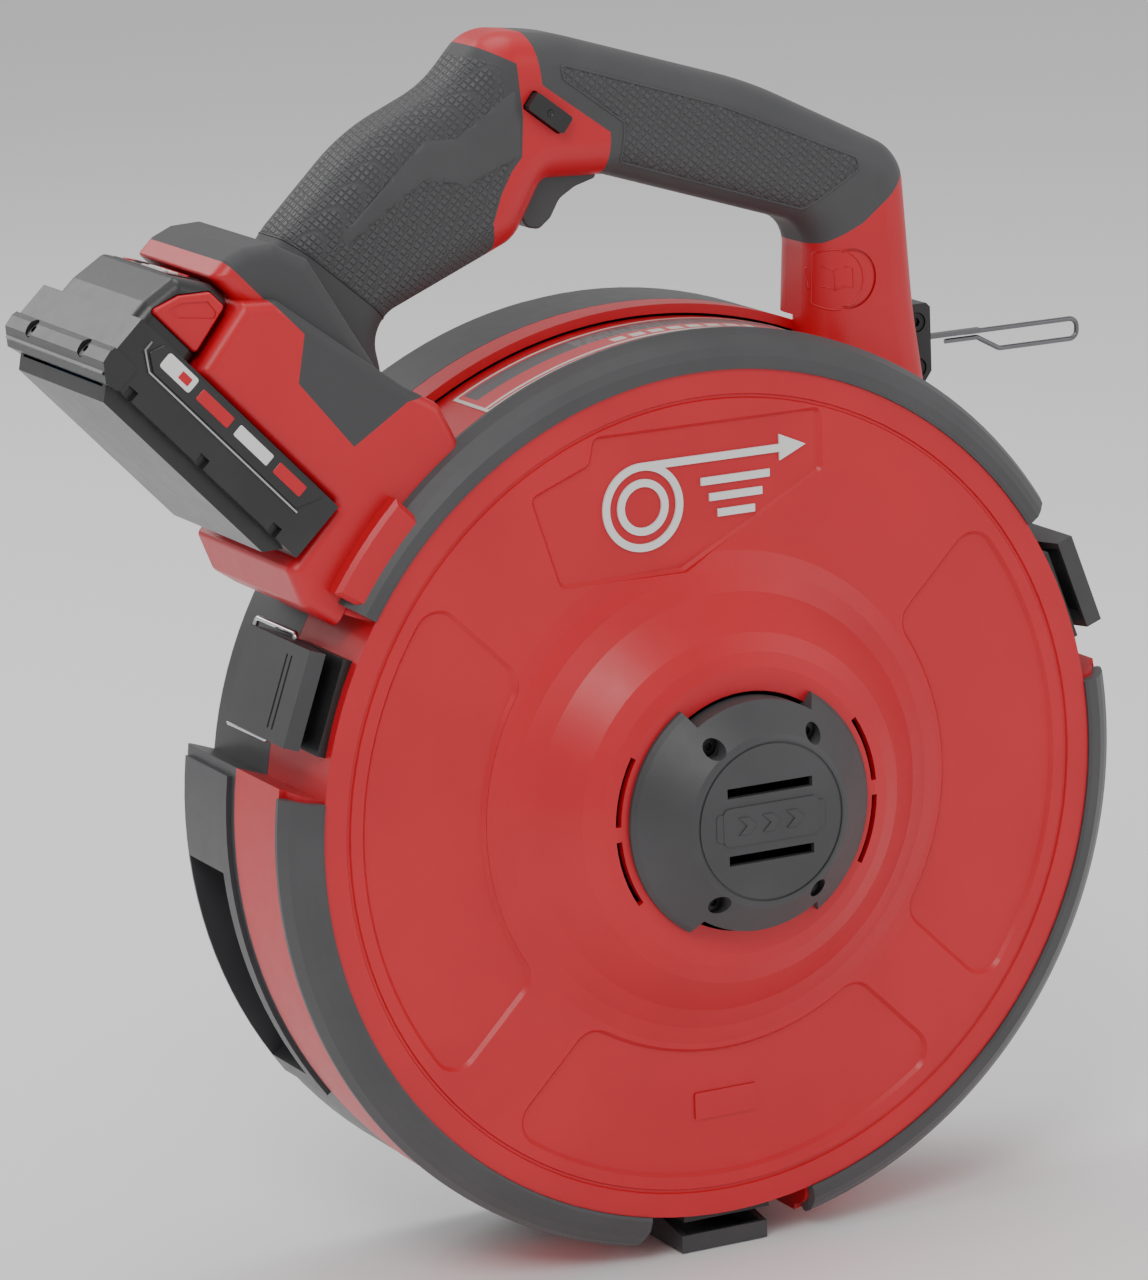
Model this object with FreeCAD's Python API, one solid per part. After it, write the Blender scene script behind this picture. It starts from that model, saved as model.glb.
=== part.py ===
"""Powered fish tape reel: a red drive housing with its handle and battery, and a latched tape drum.

Frame: millimetres, the origin is on the drum axis in the plane of the rear rest face.
+X points towards the tape outlet, +Y to the rear, +Z up towards the handle.
"""
import FreeCAD, Part
import functools
import math
import os

V = FreeCAD.Vector
Y_AXIS = V(0, 1, 0)
ORIGIN = V(0, 0, 0)

# ---- Driving dimensions: housing and drum -------------------------------------------------
FACE_Y = -90.0              # plane of the front face
SEAM_Y = -44.0              # parting plane between drive housing and tape drum
REAR_Y = 0.0                # rear rest face
FACE_R = 146.0              # edge of the front face, and the floor of the latch pockets
RIM_R = 157.5               # outside radius of the housing and the drum
WALL = 2.6                  # moulded wall
SEAM_GAP = 0.2              # shadow gap between housing and drum
BUMPER_T = 2.6              # rubber bumper thickness
BUMPER_DEPTH = 11.5         # how far the bumper wraps back along the rim
BUMPER_PROUD = 1.2          # bumper stands proud of the rim
LATCH_ANGLES = (160.0, 20.0, -90.0)
LATCH_NAMES = ("left", "right", "bottom")
POCKET_W = 61.0             # tangential width of each latch pocket

# ---- Dome, cap and face relief ------------------------------------------------------------
DOME_BASE_R = 86.0
DOME_TOP_R = 51.0
DOME_H = 21.0
CAP_SEAT_R = 45.0
CAP_TOP_R = 28.0
CAP_H = 16.0
CAP_GAP = 0.3
CAP_WALL = 2.4
CAP_SCREW_PCR = 32.5
CAP_SCREW_R = 2.0
VENT_R = 48.6
VENT_W = 2.0
RELIEF_DEPTH = 1.3
RELIEF_IN_R = 87.0
RELIEF_OUT_R = 132.0
RING_STEP_R = 137.0
SPOKE_W = 27.0
CORNER_R = 9.0

# ---- Handle -------------------------------------------------------------------------------
HANDLE_WALL = 3.0
SKIN_T = 2.2                # rubber overmould thickness
GRIP_HALF_W = 18.2          # half width of the grips
GRIP_ROUND_R = 12.5         # rounding of the grips
FOOT_HALF_W = 39.0          # half width of the battery foot
LIP_HALF_W = 33.0           # half width of the lip over the battery
FOOT_X = -131.8             # lower end of the battery face of the foot
FOOT_Z = 116.3
FOOT_TILT = 46.8            # slope of the battery face, degrees
FOOT_LEN = 67.5
LIP_LEN = 82.0
LIP_LOW = 26.5
FOOT_EDGE_R = 4.0
LIP_EDGE_R = 5.0
HANDLE_SCREW_R = 1.7
HANDLE_SCREW_HEAD_R = 3.2
BAND_OUT_R = 161.6          # red bridge behind the seam, between foot and leg
BAND_IN_R = 158.4
BAND_BACK_Y = -32.5

# ---- Battery ------------------------------------------------------------------------------
BATTERY_LEN = 97.0
BATTERY_HALF_W = 41.0
BATTERY_SPLIT_H = -13.0
BATTERY_DEEP_H = -27.5
RAIL_HALF_W = 27.0
RAIL_H = 13.0
RAIL_GAP = 0.5
CHANNEL_S = 3.0             # where the battery channel starts, up the foot's face
CELL_R = 9.1
CELL_LEN = 65.0

# ---- Drive --------------------------------------------------------------------------------
GEAR_MODULE = 1.0
SUN_TEETH = 12
PLANET_TEETH = 18
RING_TEETH = 48
PLANET_DEGS = (90.0, 210.0, 330.0)
GEAR_BACKLASH = 0.12        # tooth thinning on each gear
GEAR_FRONT_Y = -74.0
GEAR_BACK_Y = -62.0
SHAFT_R = 2.5
PIN_R = 2.5
RUN_FIT = 0.05              # radial clearance of running shafts
OUTPUT_R = 8.0
STATOR_R = 27.5
ROTOR_R = 12.0
AIR_GAP = 0.6
MOTOR_FRONT_Y = -102.0
MOTOR_BACK_Y = -82.0
BEARING_R = 6.5
BEARING_W = 4.0
GEARCASE_R = 31.5
OUTPUT_BEARING_R = 14.0

# ---- Tape drum ----------------------------------------------------------------------------
AXLE_R = 8.0
COIL_IN_R = 126.0
COIL_OUT_R = 139.0
COIL_FRONT_Y = -39.5
COIL_BACK_Y = -8.5
FLANGE_R = 141.5
FLANGE_T = 1.6
REEL_HUB_R = 16.0
TAPE_W = 3.2
TAPE_T = 1.6
TAPE_Y = 0.5 * (COIL_FRONT_Y + COIL_BACK_Y)
TAPE_Z = 134.0
NOZZLE_X0 = 84.0
NOZZLE_X1 = 114.0
NOZZLE_Z0 = 118.0
NOZZLE_Z1 = 150.0
NOZZLE_SCREW_X = 108.5
NOZZLE_SCREW_R = 2.0

# ---- Draw latches -------------------------------------------------------------------------
HINGE_Y = -41.0
HINGE_R = 154.5
BAIL_Y = -54.0
BAIL_R = 151.3
HOOK_Y = -25.0
HOOK_R = 152.4
LEVER_HALF_W = 16.5
LEVER_TOP_R = 160.0
LEVER_FRONT_Y = -84.0
LEVER_BACK_Y = -36.0
LEVER_T = 2.2
WIRE_R = 1.0
HINGE_PIN_R = 1.25
CHEEK_T = 2.2
CHEEK_GAP = 0.4             # between the lever's flank and the cheek inside it

# ---- Controls -----------------------------------------------------------------------------
TRIGGER_HALF_W = 8.0
TRIGGER_DIR = V(-0.55, 0, 0.835)
SELECTOR_LEN = 16.0
SELECTOR_W = 6.5
SELECTOR_HALF = 21.5
SELECTOR_TRAVEL = 3.5
SLOT_GAP = 0.4
EPS = 0.01


# ---- Small geometry helpers ---------------------------------------------------------------
def polar(r, deg, y=0.0):
    """Point at radius r and angle deg about the drum axis (0 = +X, 90 = +Z)."""
    return V(r * math.cos(math.radians(deg)), y, r * math.sin(math.radians(deg)))


def prism(points, y0, y1):
    """Extrude an XZ outline, given as (x, z) pairs, from y0 to y1."""
    wire = Part.makePolygon([V(x, y0, z) for x, z in points] + [V(points[0][0], y0, points[0][1])])
    return Part.Face(wire).extrude(V(0, y1 - y0, 0))


def rounded_wire(points, radius, y):
    """Closed XZ wire with every corner rounded by the radius, or by its own radius if a list."""
    count = len(points)
    radii = radius if isinstance(radius, (list, tuple)) else [radius] * count
    corners = []
    for i in range(count):
        here = V(points[i][0], y, points[i][1])
        before = V(points[i - 1][0], y, points[i - 1][1])
        after = V(points[(i + 1) % count][0], y, points[(i + 1) % count][1])
        to_before = (before - here).normalize()
        to_after = (after - here).normalize()
        half = 0.5 * to_before.getAngle(to_after)
        reach = radii[i] / math.tan(half) if radii[i] > 0 else 0.0
        start = here + to_before * reach
        end = here + to_after * reach
        middle_dir = (to_before + to_after)
        if radii[i] > 0 and middle_dir.Length > 1e-6:
            centre = here + middle_dir.normalize() * (radii[i] / math.sin(half))
            middle = centre + (here - centre).normalize() * radii[i]
        else:
            middle = None
        corners.append((start, middle, end))
    edges = []
    for i in range(count):
        start, middle, end = corners[i]
        if middle is not None:
            edges.append(Part.Arc(start, middle, end).toShape())
        following = corners[(i + 1) % count][0]
        if (following - end).Length > 1e-4:
            edges.append(Part.LineSegment(end, following).toShape())
    return Part.Wire(edges)


def rounded_prism(points, radius, y0, y1):
    """Extrude a rounded XZ outline from y0 to y1."""
    return Part.Face(rounded_wire(points, radius, y0)).extrude(V(0, y1 - y0, 0))


def revolve(points):
    """Full turn about the drum axis of a closed outline given as (r, y) pairs."""
    outline = [V(r, y, 0) for r, y in points]
    face = Part.Face(Part.makePolygon(outline + [outline[0]]))
    return face.revolve(ORIGIN, Y_AXIS, 360)


def ring(r_in, r_out, y0, y1, x=0.0, z=0.0):
    """Ring, or a disc when r_in is 0, between two planes on an axis along Y."""
    solid = Part.makeCylinder(r_out, y1 - y0, V(x, y0, z), Y_AXIS)
    if r_in > 0:
        solid = solid.cut(Part.makeCylinder(r_in, y1 - y0 + 2, V(x, y0 - 1, z), Y_AXIS))
    return solid


def turned(shape, deg):
    """Copy of a shape turned about the drum axis from +X towards +Z."""
    copy = shape.copy()
    copy.rotate(ORIGIN, Y_AXIS, -deg)
    return copy


def wedge(start_deg, end_deg, y0, y1, reach=400.0):
    """Angular sector about the drum axis from start to end, counted towards +Z."""
    start = polar(reach, start_deg, y0)
    face = Part.Face(Part.Wire([
        Part.LineSegment(V(0, y0, 0), start).toShape(),
        Part.Arc(start, polar(reach, 0.5 * (start_deg + end_deg), y0), polar(reach, end_deg, y0)).toShape(),
        Part.LineSegment(polar(reach, end_deg, y0), V(0, y0, 0)).toShape(),
    ]))
    return face.extrude(V(0, y1 - y0, 0))


def box(x0, x1, y0, y1, z0, z1):
    """Box between two corners."""
    return Part.makeBox(x1 - x0, y1 - y0, z1 - z0, V(x0, y0, z0))


def rod(start, end, radius):
    """Round bar between two points."""
    along = end - start
    return Part.makeCylinder(radius, along.Length, start, along)


def fuse(shapes):
    """Join a list of shapes into one."""
    shapes = list(shapes)
    if len(shapes) == 1:
        return shapes[0]
    return shapes[0].multiFuse(shapes[1:])


def group(shapes):
    """Separate solids kept together in one node."""
    return Part.Compound([solid for shape in shapes for solid in shape.Solids])


def chamfered_bottom(solid, y, size):
    """Chamfer the edges that lie in the plane y."""
    edges = [e for e in solid.Edges if all(abs(v.Y - y) < 1e-4 for v in e.Vertexes)]
    return solid.makeChamfer(size, edges)


def filleted(solid, radius, chosen):
    """Fillet the edges for which chosen(edge) is true."""
    edges = [e for e in solid.Edges if chosen(e)]
    return solid.makeFillet(radius, edges)


def foot_at(s, h, y=0.0):
    """Point in the battery's own frame: s up the battery face, h off that face."""
    c = math.cos(math.radians(FOOT_TILT))
    d = math.sin(math.radians(FOOT_TILT))
    return V(FOOT_X - s * c + h * d, y, FOOT_Z + s * d + h * c)


def foot_prism(points, y0, y1, radius=0.0):
    """Extrude an outline given in the battery's frame as (s, h) pairs."""
    flat = [(foot_at(s, h).x, foot_at(s, h).z) for s, h in points]
    if radius:
        return rounded_prism(flat, radius, y0, y1)
    return prism(flat, y0, y1)


def foot_box(s0, s1, h0, h1, y0, y1):
    """Box lined up with the battery face."""
    return foot_prism([(s0, h0), (s1, h0), (s1, h1), (s0, h1)], y0, y1)


# ---- Handle form --------------------------------------------------------------------------
# Side view of the handle bridge as (x, z, corner radius), from the battery foot over the rear
# grip, the control head and the front grip down to the leg, and back along the hand gap.
BRIDGE_OUTLINE = (
    (-152.0, 178.0, 14.0), (-132.0, 202.5, 26.0), (-103.0, 230.5, 70.0), (-73.0, 243.5, 40.0),
    (-57.0, 261.0, 16.0), (-32.0, 258.0, 60.0), (41.0, 235.0, 150.0), (98.0, 206.0, 17.0),
    (101.5, 152.0, 200.0), (107.0, 112.0, 14.0), (57.0, 112.0, 14.0), (61.5, 184.0, 12.0),
    (-15.0, 209.0, 12.0), (-39.0, 210.0, 5.0), (-50.0, 191.0, 14.0), (-103.5, 169.0, 12.0),
    (-97.0, 136.0, 14.0), (-140.0, 142.0, 14.0),
)


@functools.lru_cache(maxsize=None)
def bridge_form(inset, side):
    """Half of the handle bridge in front of (side -1) or behind (side +1) the seam."""
    points = [(x, z) for x, z, radius in BRIDGE_OUTLINE]
    wire = rounded_wire(points, [radius for x, z, radius in BRIDGE_OUTLINE], SEAM_Y)
    if inset > 0:
        wire = wire.makeOffset2D(-inset)
    outer_y = SEAM_Y + side * (GRIP_HALF_W - inset)
    block = Part.Face(wire).extrude(V(0, outer_y - SEAM_Y, 0))
    return filleted(block, GRIP_ROUND_R - inset, lambda e: all(abs(v.Y - outer_y) < 1e-4 for v in e.Vertexes))


FOOT_OUTLINE = (
    (foot_at(0, 0).x, foot_at(0, 0).z),
    (foot_at(FOOT_LEN, 0).x, foot_at(FOOT_LEN, 0).z),
    (foot_at(FOOT_LEN + 3.5, LIP_LOW).x, foot_at(FOOT_LEN + 3.5, LIP_LOW).z),
    (foot_at(62, 35).x, foot_at(62, 35).z),
    (-105.0, 152.0),
    (-93.0, 145.0),
    (-84.0, 126.0),
    (-100.0, 100.0),
    (-128.0, 72.0),
    (-145.0, 84.0),
    (-150.0, 97.0),
)


@functools.lru_cache(maxsize=None)
def foot_form(inset, side):
    """Half of the battery foot block and its lip over the battery, pulled in by the inset."""
    y0 = SEAM_Y
    y1 = SEAM_Y + side * (FOOT_HALF_W - inset)
    wire = rounded_wire(FOOT_OUTLINE, [1.5, 1.5, 1, 4, 8, 5, 1, 1, 1, 3, 2], y0)
    if inset > 0:
        wire = wire.makeOffset2D(-inset)
    block = Part.Face(wire).extrude(V(0, y1 - y0, 0))
    if inset == 0:
        block = filleted(block, FOOT_EDGE_R, lambda e: all(abs(v.Y - y1) < 1e-4 for v in e.Vertexes))
    low = LIP_LOW + inset
    outline = [(15, low), (LIP_LEN - inset, low), (LIP_LEN - inset, 34), (79.5 - inset, 41 - inset),
               (73 - inset, 48.5 - inset), (60, 53 - inset), (15, 43 - inset)]
    y2 = SEAM_Y + side * (LIP_HALF_W - inset)
    lip = foot_prism(outline, y0, y2, 1.0)
    if inset == 0:
        lip = filleted(lip, LIP_EDGE_R, lambda e: all(abs(v.Y - y2) < 1e-4 for v in e.Vertexes)
                       and e.CenterOfMass.distanceToPoint(foot_at(45, low, y2)) > 12)
    return block.fuse(lip)


# Regions that the rubber skins cover, as XZ outlines of prisms through the handle.
REAR_SKIN_OUTLINE = (
    (foot_at(LIP_LEN + 10, 33).x, foot_at(LIP_LEN + 10, 33).z),
    (foot_at(48, 33).x, foot_at(48, 33).z), (-143.5, 158.0), (-125.0, 135.0), (-105.0, 147.5),
    (-80.0, 150.0), (-60.0, 190.0), (-61.5, 198.5), (-58.0, 208.0), (-54.0, 215.0), (-50.0, 219.5),
    (-49.0, 232.5), (-50.6, 250.5), (-72.0, 262.0), (-190.0, 262.0),
)
FRONT_SKIN_OUTLINE = (
    (-46.0, 268.0), (-43.0, 255.0), (-41.5, 242.5), (-17.0, 224.5), (-17.0, 221.0), (-19.0, 190.0),
    (46.0, 160.0), (47.5, 176.0), (64.0, 178.0), (78.0, 184.0), (90.0, 193.0), (104.0, 206.0),
    (90.0, 240.0),
)


def region(outline):
    """Prism through the whole handle over an XZ outline."""
    return prism(outline, SEAM_Y - 60, SEAM_Y + 60)


@functools.lru_cache(maxsize=None)
def bridge_layer(outer, inner, side):
    """Layer of the handle bridge between two insets, outside the foot."""
    return bridge_form(outer, side).cut(bridge_form(inner, side)).cut(foot_form(0, side))


def foot_layer(outer, inner, side):
    """Layer of the foot between two insets, open under the neck of the grip."""
    layer = foot_form(outer, side).cut(foot_form(inner, side)).cut(bridge_form(SKIN_T + HANDLE_WALL, side))
    return layer.common(foot_form(0, side))


def overmould(outline, side, with_foot):
    """Rubber skin over one region of one handle half."""
    skin = bridge_layer(0, SKIN_T, side).common(region(outline))
    if with_foot:
        skin = skin.fuse(foot_layer(0, SKIN_T, side).common(region(outline)))
    return skin


def handle_shell(side):
    """Hard shell of one handle half, thinner under the rubber skins."""
    full = SKIN_T + HANDLE_WALL
    rear = region(REAR_SKIN_OUTLINE)
    front = region(FRONT_SKIN_OUTLINE)
    pieces = [
        bridge_layer(0, full, side).cut(rear).cut(front),
        bridge_layer(SKIN_T, full, side).common(rear),
        bridge_layer(SKIN_T, full, side).common(front),
        foot_layer(0, full, side).cut(rear),
        foot_layer(SKIN_T, full, side).common(rear),
    ]
    return fuse(pieces)


# ---- Housing ------------------------------------------------------------------------------
def pocket_cut(deg, grow=0.0):
    """Space outside the pocket floor at one latch, grown by a wall."""
    block = box(0, RIM_R + 30, FACE_Y - 5, REAR_Y + 5, -0.5 * POCKET_W - grow, 0.5 * POCKET_W + grow)
    block = block.cut(Part.makeCylinder(FACE_R - grow, 200, V(0, FACE_Y - 20, 0), Y_AXIS))
    return turned(block, deg)


def rim_front_profile():
    """Outer (r, y) profile of the raised rim under the bumper."""
    return [(FACE_R - 6, FACE_Y + BUMPER_T), (FACE_R, FACE_Y + BUMPER_T), (FACE_R + 5.5, FACE_Y + BUMPER_T + 1.2),
            (RIM_R - 3.4, FACE_Y + 7.0), (RIM_R - BUMPER_T + 0.6, FACE_Y + BUMPER_DEPTH),
            (RIM_R, FACE_Y + BUMPER_DEPTH), (RIM_R, SEAM_Y), (FACE_R - 6, SEAM_Y)]


def dome_profile(inset):
    """(r, y) outline of the dome, pulled in by a wall."""
    top = FACE_Y - DOME_H + inset
    points = [(0, FACE_Y + WALL), (DOME_BASE_R + 4 - inset, FACE_Y + WALL), (DOME_BASE_R + 4 - inset, FACE_Y)]
    if inset:
        points = [(0, FACE_Y + WALL + 1), (DOME_BASE_R - 6 - inset, FACE_Y + WALL + 1)]
    points += [(DOME_BASE_R - 1 - 2 * inset, FACE_Y - 0.6 + inset), (DOME_BASE_R - 7 - inset, FACE_Y - 2.6 + inset),
               (DOME_BASE_R - 14 - inset, FACE_Y - 6.6 + inset), (DOME_TOP_R + 9 - inset, top + 4.4),
               (DOME_TOP_R + 3 - inset, top + 1.2), (DOME_TOP_R - 2 - inset, top), (0, top)]
    return points


def sector_outline(centre_deg):
    """Outline of one recessed face panel between two spokes."""
    half = 45.0
    side = 0.5 * SPOKE_W
    points = []
    for sign in (-1, 1):
        edge_dir = V(math.cos(math.radians(half)), 0, sign * math.sin(math.radians(half)))
        normal = V(-sign * edge_dir.z, 0, sign * edge_dir.x)
        if normal.x < 0:
            normal = normal * -1
        inner = edge_dir * math.sqrt(RELIEF_IN_R ** 2 - side ** 2) + normal * side
        outer = edge_dir * math.sqrt(RELIEF_OUT_R ** 2 - side ** 2) + normal * side
        points.append((inner, outer))
    (in_low, out_low), (in_high, out_high) = points
    wire = Part.Wire([
        Part.Arc(out_low, V(RELIEF_OUT_R, 0, 0), out_high).toShape(),
        Part.makeLine(out_high, in_high),
        Part.Arc(in_high, V(RELIEF_IN_R, 0, 0), in_low).toShape(),
        Part.makeLine(in_low, out_low),
    ])
    return turned(wire, centre_deg)


def panel_cut(centre_deg):
    """Cutter of one recessed face panel with soft corners and sloping walls."""
    face = Part.Face(sector_outline(centre_deg))
    block = face.extrude(V(0, RELIEF_DEPTH + 3, 0))
    block.translate(V(0, FACE_Y - 3, 0))
    upright = [e for e in block.Edges if abs(e.Vertexes[0].Y - e.Vertexes[-1].Y) > 1]
    block = block.makeFillet(CORNER_R, upright)
    return chamfered_bottom(block, FACE_Y + RELIEF_DEPTH, RELIEF_DEPTH)


EMBLEM_OUTLINE = ((-42.0, 129.0), (44.0, 129.0), (44.0, 107.5), (-10.0, 79.5), (-56.0, 79.5), (-66.0, 111.5),
                  (-44.0, 120.0))


def emblem_cut():
    """Cutter of the emblem field with sloping walls."""
    block = rounded_prism(EMBLEM_OUTLINE, 3.0, FACE_Y - 3, FACE_Y + RELIEF_DEPTH)
    return chamfered_bottom(block, FACE_Y + RELIEF_DEPTH, 1.2)


def arc_slot(r, width, start_deg, end_deg, y0, y1):
    """Ring segment used for vents."""
    return ring(r - 0.5 * width, r + 0.5 * width, y0, y1).common(wedge(start_deg, end_deg, y0 - 1, y1 + 1))


def drum_shell():
    """Hollow red drum with its raised rim and latch pockets."""
    rim = revolve(rim_front_profile())
    core = ring(0, FACE_R, FACE_Y, SEAM_Y)
    outer = rim.fuse(core)
    for deg in LATCH_ANGLES:
        outer = outer.cut(pocket_cut(deg))
    hollow = revolve([(0, FACE_Y + WALL), (FACE_R - 4, FACE_Y + WALL), (FACE_R + 2, FACE_Y + BUMPER_T + WALL + 1.6),
                      (RIM_R - 2 * WALL - 1.5, FACE_Y + 9.5), (RIM_R - WALL - 1.2, FACE_Y + BUMPER_DEPTH + 3.5),
                      (RIM_R - WALL, FACE_Y + BUMPER_DEPTH + 6), (RIM_R - WALL, SEAM_Y + 1), (0, SEAM_Y + 1)])
    for deg in LATCH_ANGLES:
        hollow = hollow.cut(pocket_cut(deg, WALL))
    return outer, hollow


SCREW_SPOTS = ((-117.0, 172.0), (-88.0, 203.0), (-22.0, 243.0), (40.0, 211.0), (81.0, 180.0), (78.0, 140.0))
SCREW_FRONT_Y = -57.0
SCREW_HEAD_Y = -31.0


def screw_posts(side):
    """Screw bosses inside one handle half, each with its hole."""
    posts = []
    for x, z in SCREW_SPOTS:
        if side < 0:
            post = ring(HANDLE_SCREW_R, 4.0, SCREW_FRONT_Y, SEAM_Y, x, z)
        else:
            post = ring(HANDLE_SCREW_R + 0.2, 4.6, SEAM_Y, SCREW_HEAD_Y, x, z)
        posts.append(post)
    return posts


def rail_channel():
    """Channel in the foot that takes the battery's rail block."""
    return foot_box(CHANNEL_S, FOOT_LEN + 3, -2, RAIL_H + RAIL_GAP, SEAM_Y - RAIL_HALF_W - RAIL_GAP,
                    SEAM_Y + RAIL_HALF_W + RAIL_GAP)


def battery_space():
    """Space under the lip for the battery's tower."""
    outline = [(FOOT_LEN + 0.1, -30), (FOOT_LEN + 0.1, 0), (FOOT_LEN + 3.6, LIP_LOW - 0.2),
               (LIP_LEN + 20, LIP_LOW - 0.2), (LIP_LEN + 20, -30)]
    return foot_prism(outline, SEAM_Y - 60, SEAM_Y + 60)


def channel_floor(side):
    """Wall above the battery channel, with the channel's cheeks."""
    edge = SEAM_Y + side * (RAIL_HALF_W + RAIL_GAP + WALL)
    return foot_box(0.5, FOOT_LEN - 0.1, 0.1, RAIL_H + RAIL_GAP + WALL, SEAM_Y, edge)


def trigger_slot():
    """Space for the trigger blade and its travel."""
    outline = [(-49.8, 190), (-50.2, 208), (-56.0, 222), (-44.0, 230), (-18.0, 222), (-13.5, 209), (-13.5, 190)]
    return prism(outline, SEAM_Y - TRIGGER_HALF_W - SLOT_GAP, SEAM_Y + TRIGGER_HALF_W + SLOT_GAP)


SELECTOR_X = -40.5
SELECTOR_Z = 233.5
SELECTOR_TILT = -38.0


def selector_bar(grow, y0, y1):
    """Bar of the selector, grown on its sides."""
    half_l = 0.5 * SELECTOR_LEN + grow
    half_w = 0.5 * SELECTOR_W + grow
    bar = rounded_prism([(-half_l, -half_w), (half_l, -half_w), (half_l, half_w), (-half_l, half_w)], 1.2, y0, y1)
    bar.rotate(ORIGIN, Y_AXIS, -SELECTOR_TILT)
    bar.translate(V(SELECTOR_X, 0, SELECTOR_Z))
    return bar


def grip_shell(side):
    """One half of the handle's hard shell with its channel, posts and openings."""
    shell = fuse([handle_shell(side), channel_floor(side)] + screw_posts(side))
    shanks = [ring(0, HANDLE_SCREW_R, SCREW_FRONT_Y, SCREW_HEAD_Y, x, z) for x, z in SCREW_SPOTS]
    shell = shell.cut(rail_channel()).cut(trigger_slot()).cut(fuse(shanks)).cut(battery_space())
    return shell.cut(selector_bar(SLOT_GAP, SEAM_Y - 40, SEAM_Y + 40))


TONGUE = (134.0, 147.0)     # angles of the foot's tongue over the bumper
TONGUE_OUT_R = 163.0
TONGUE_IN_R = 151.0
PICTOGRAM = (72.0, 165.4)


def tongue():
    """Red tongue that runs from the foot over the rim to the front face."""
    block = ring(TONGUE_IN_R, TONGUE_OUT_R, FACE_Y + 0.6, SEAM_Y).common(wedge(TONGUE[0], TONGUE[1], FACE_Y, SEAM_Y))
    outer_edges = [e for e in block.Edges if abs(e.BoundBox.YMax - FACE_Y - 0.6) < 1e-3]
    return block.makeChamfer(1.5, outer_edges)


def front_housing():
    """Front shell: face, dome, raised rim and the front half of the handle."""
    outer, hollow = drum_shell()
    dome = revolve(dome_profile(0))
    outer = outer.fuse(dome)
    hollow = hollow.fuse(revolve(dome_profile(WALL)))
    handle = grip_shell(-1)
    outside_drum = handle.cut(ring(0, RIM_R - WALL - 0.5, FACE_Y - 10, SEAM_Y + 1))
    shell = outer.cut(hollow).fuse(tongue().cut(ring(0, FACE_R + 1, FACE_Y - 1, SEAM_Y + 1)))
    shell = shell.fuse(outside_drum).cut(bumpers()[0])
    for deg in (180.0, 0.0, -90.0):
        shell = shell.cut(panel_cut(deg))
    shell = shell.cut(emblem_cut())
    groove = revolve([(RING_STEP_R - 1.4, FACE_Y - 1), (RING_STEP_R + 1.4, FACE_Y - 1), (RING_STEP_R + 0.4, FACE_Y + 0.7),
                      (RING_STEP_R - 0.4, FACE_Y + 0.7)])
    shell = shell.cut(groove)
    shell = shell.cut(ring(0, CAP_SEAT_R - 4, FACE_Y - DOME_H - 5, FACE_Y - DOME_H + 8))
    for start, end in ((150, 178), (184, 212), (-30, -2), (4, 32)):
        shell = shell.cut(arc_slot(VENT_R, VENT_W, start, end, FACE_Y - DOME_H - 5, FACE_Y - DOME_H + 8))
    badge = ring(9.4, 10.4, -70, -61.4, *PICTOGRAM)
    shell = shell.cut(badge)
    plate = rounded_prism([(-12.4, -111.6), (11.4, -111.6), (11.4, -102.2), (-12.4, -102.2)], 0.6,
                          FACE_Y + RELIEF_DEPTH - 0.7, FACE_Y + RELIEF_DEPTH + 0.5)
    return shell.fuse(plate)


def bumper(start_deg, end_deg):
    """Rubber bumper on the rim's front corner between two angles."""
    profile = [(FACE_R + 0.1, FACE_Y + BUMPER_T), (FACE_R + 0.1, FACE_Y - 0.8), (FACE_R + 1.2, FACE_Y - 1.3),
               (FACE_R + 4.6, FACE_Y - 0.9), (RIM_R - 4.0, FACE_Y + 1.3), (RIM_R - 0.9, FACE_Y + 4.6),
               (RIM_R + BUMPER_PROUD, FACE_Y + 9.0), (RIM_R + BUMPER_PROUD, FACE_Y + BUMPER_DEPTH - 0.8),
               (RIM_R + 0.2, FACE_Y + BUMPER_DEPTH - 0.1), (RIM_R - BUMPER_T + 0.6, FACE_Y + BUMPER_DEPTH - 0.1),
               (RIM_R - 3.4, FACE_Y + 7.0), (FACE_R + 5.5, FACE_Y + BUMPER_T + 1.2)]
    return revolve(profile).common(wedge(start_deg, end_deg, FACE_Y - 10, SEAM_Y))


def bumpers():
    """The three rim bumpers between the latch pockets."""
    half = math.degrees(math.asin(0.5 * POCKET_W / FACE_R)) + 0.2
    top = bumper(LATCH_ANGLES[1] + half, LATCH_ANGLES[0] - half).cut(tongue())
    left = bumper(LATCH_ANGLES[0] + half, LATCH_ANGLES[2] + 360 - half)
    right = bumper(LATCH_ANGLES[2] + half, LATCH_ANGLES[1] - half)
    return top, left, right


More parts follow.
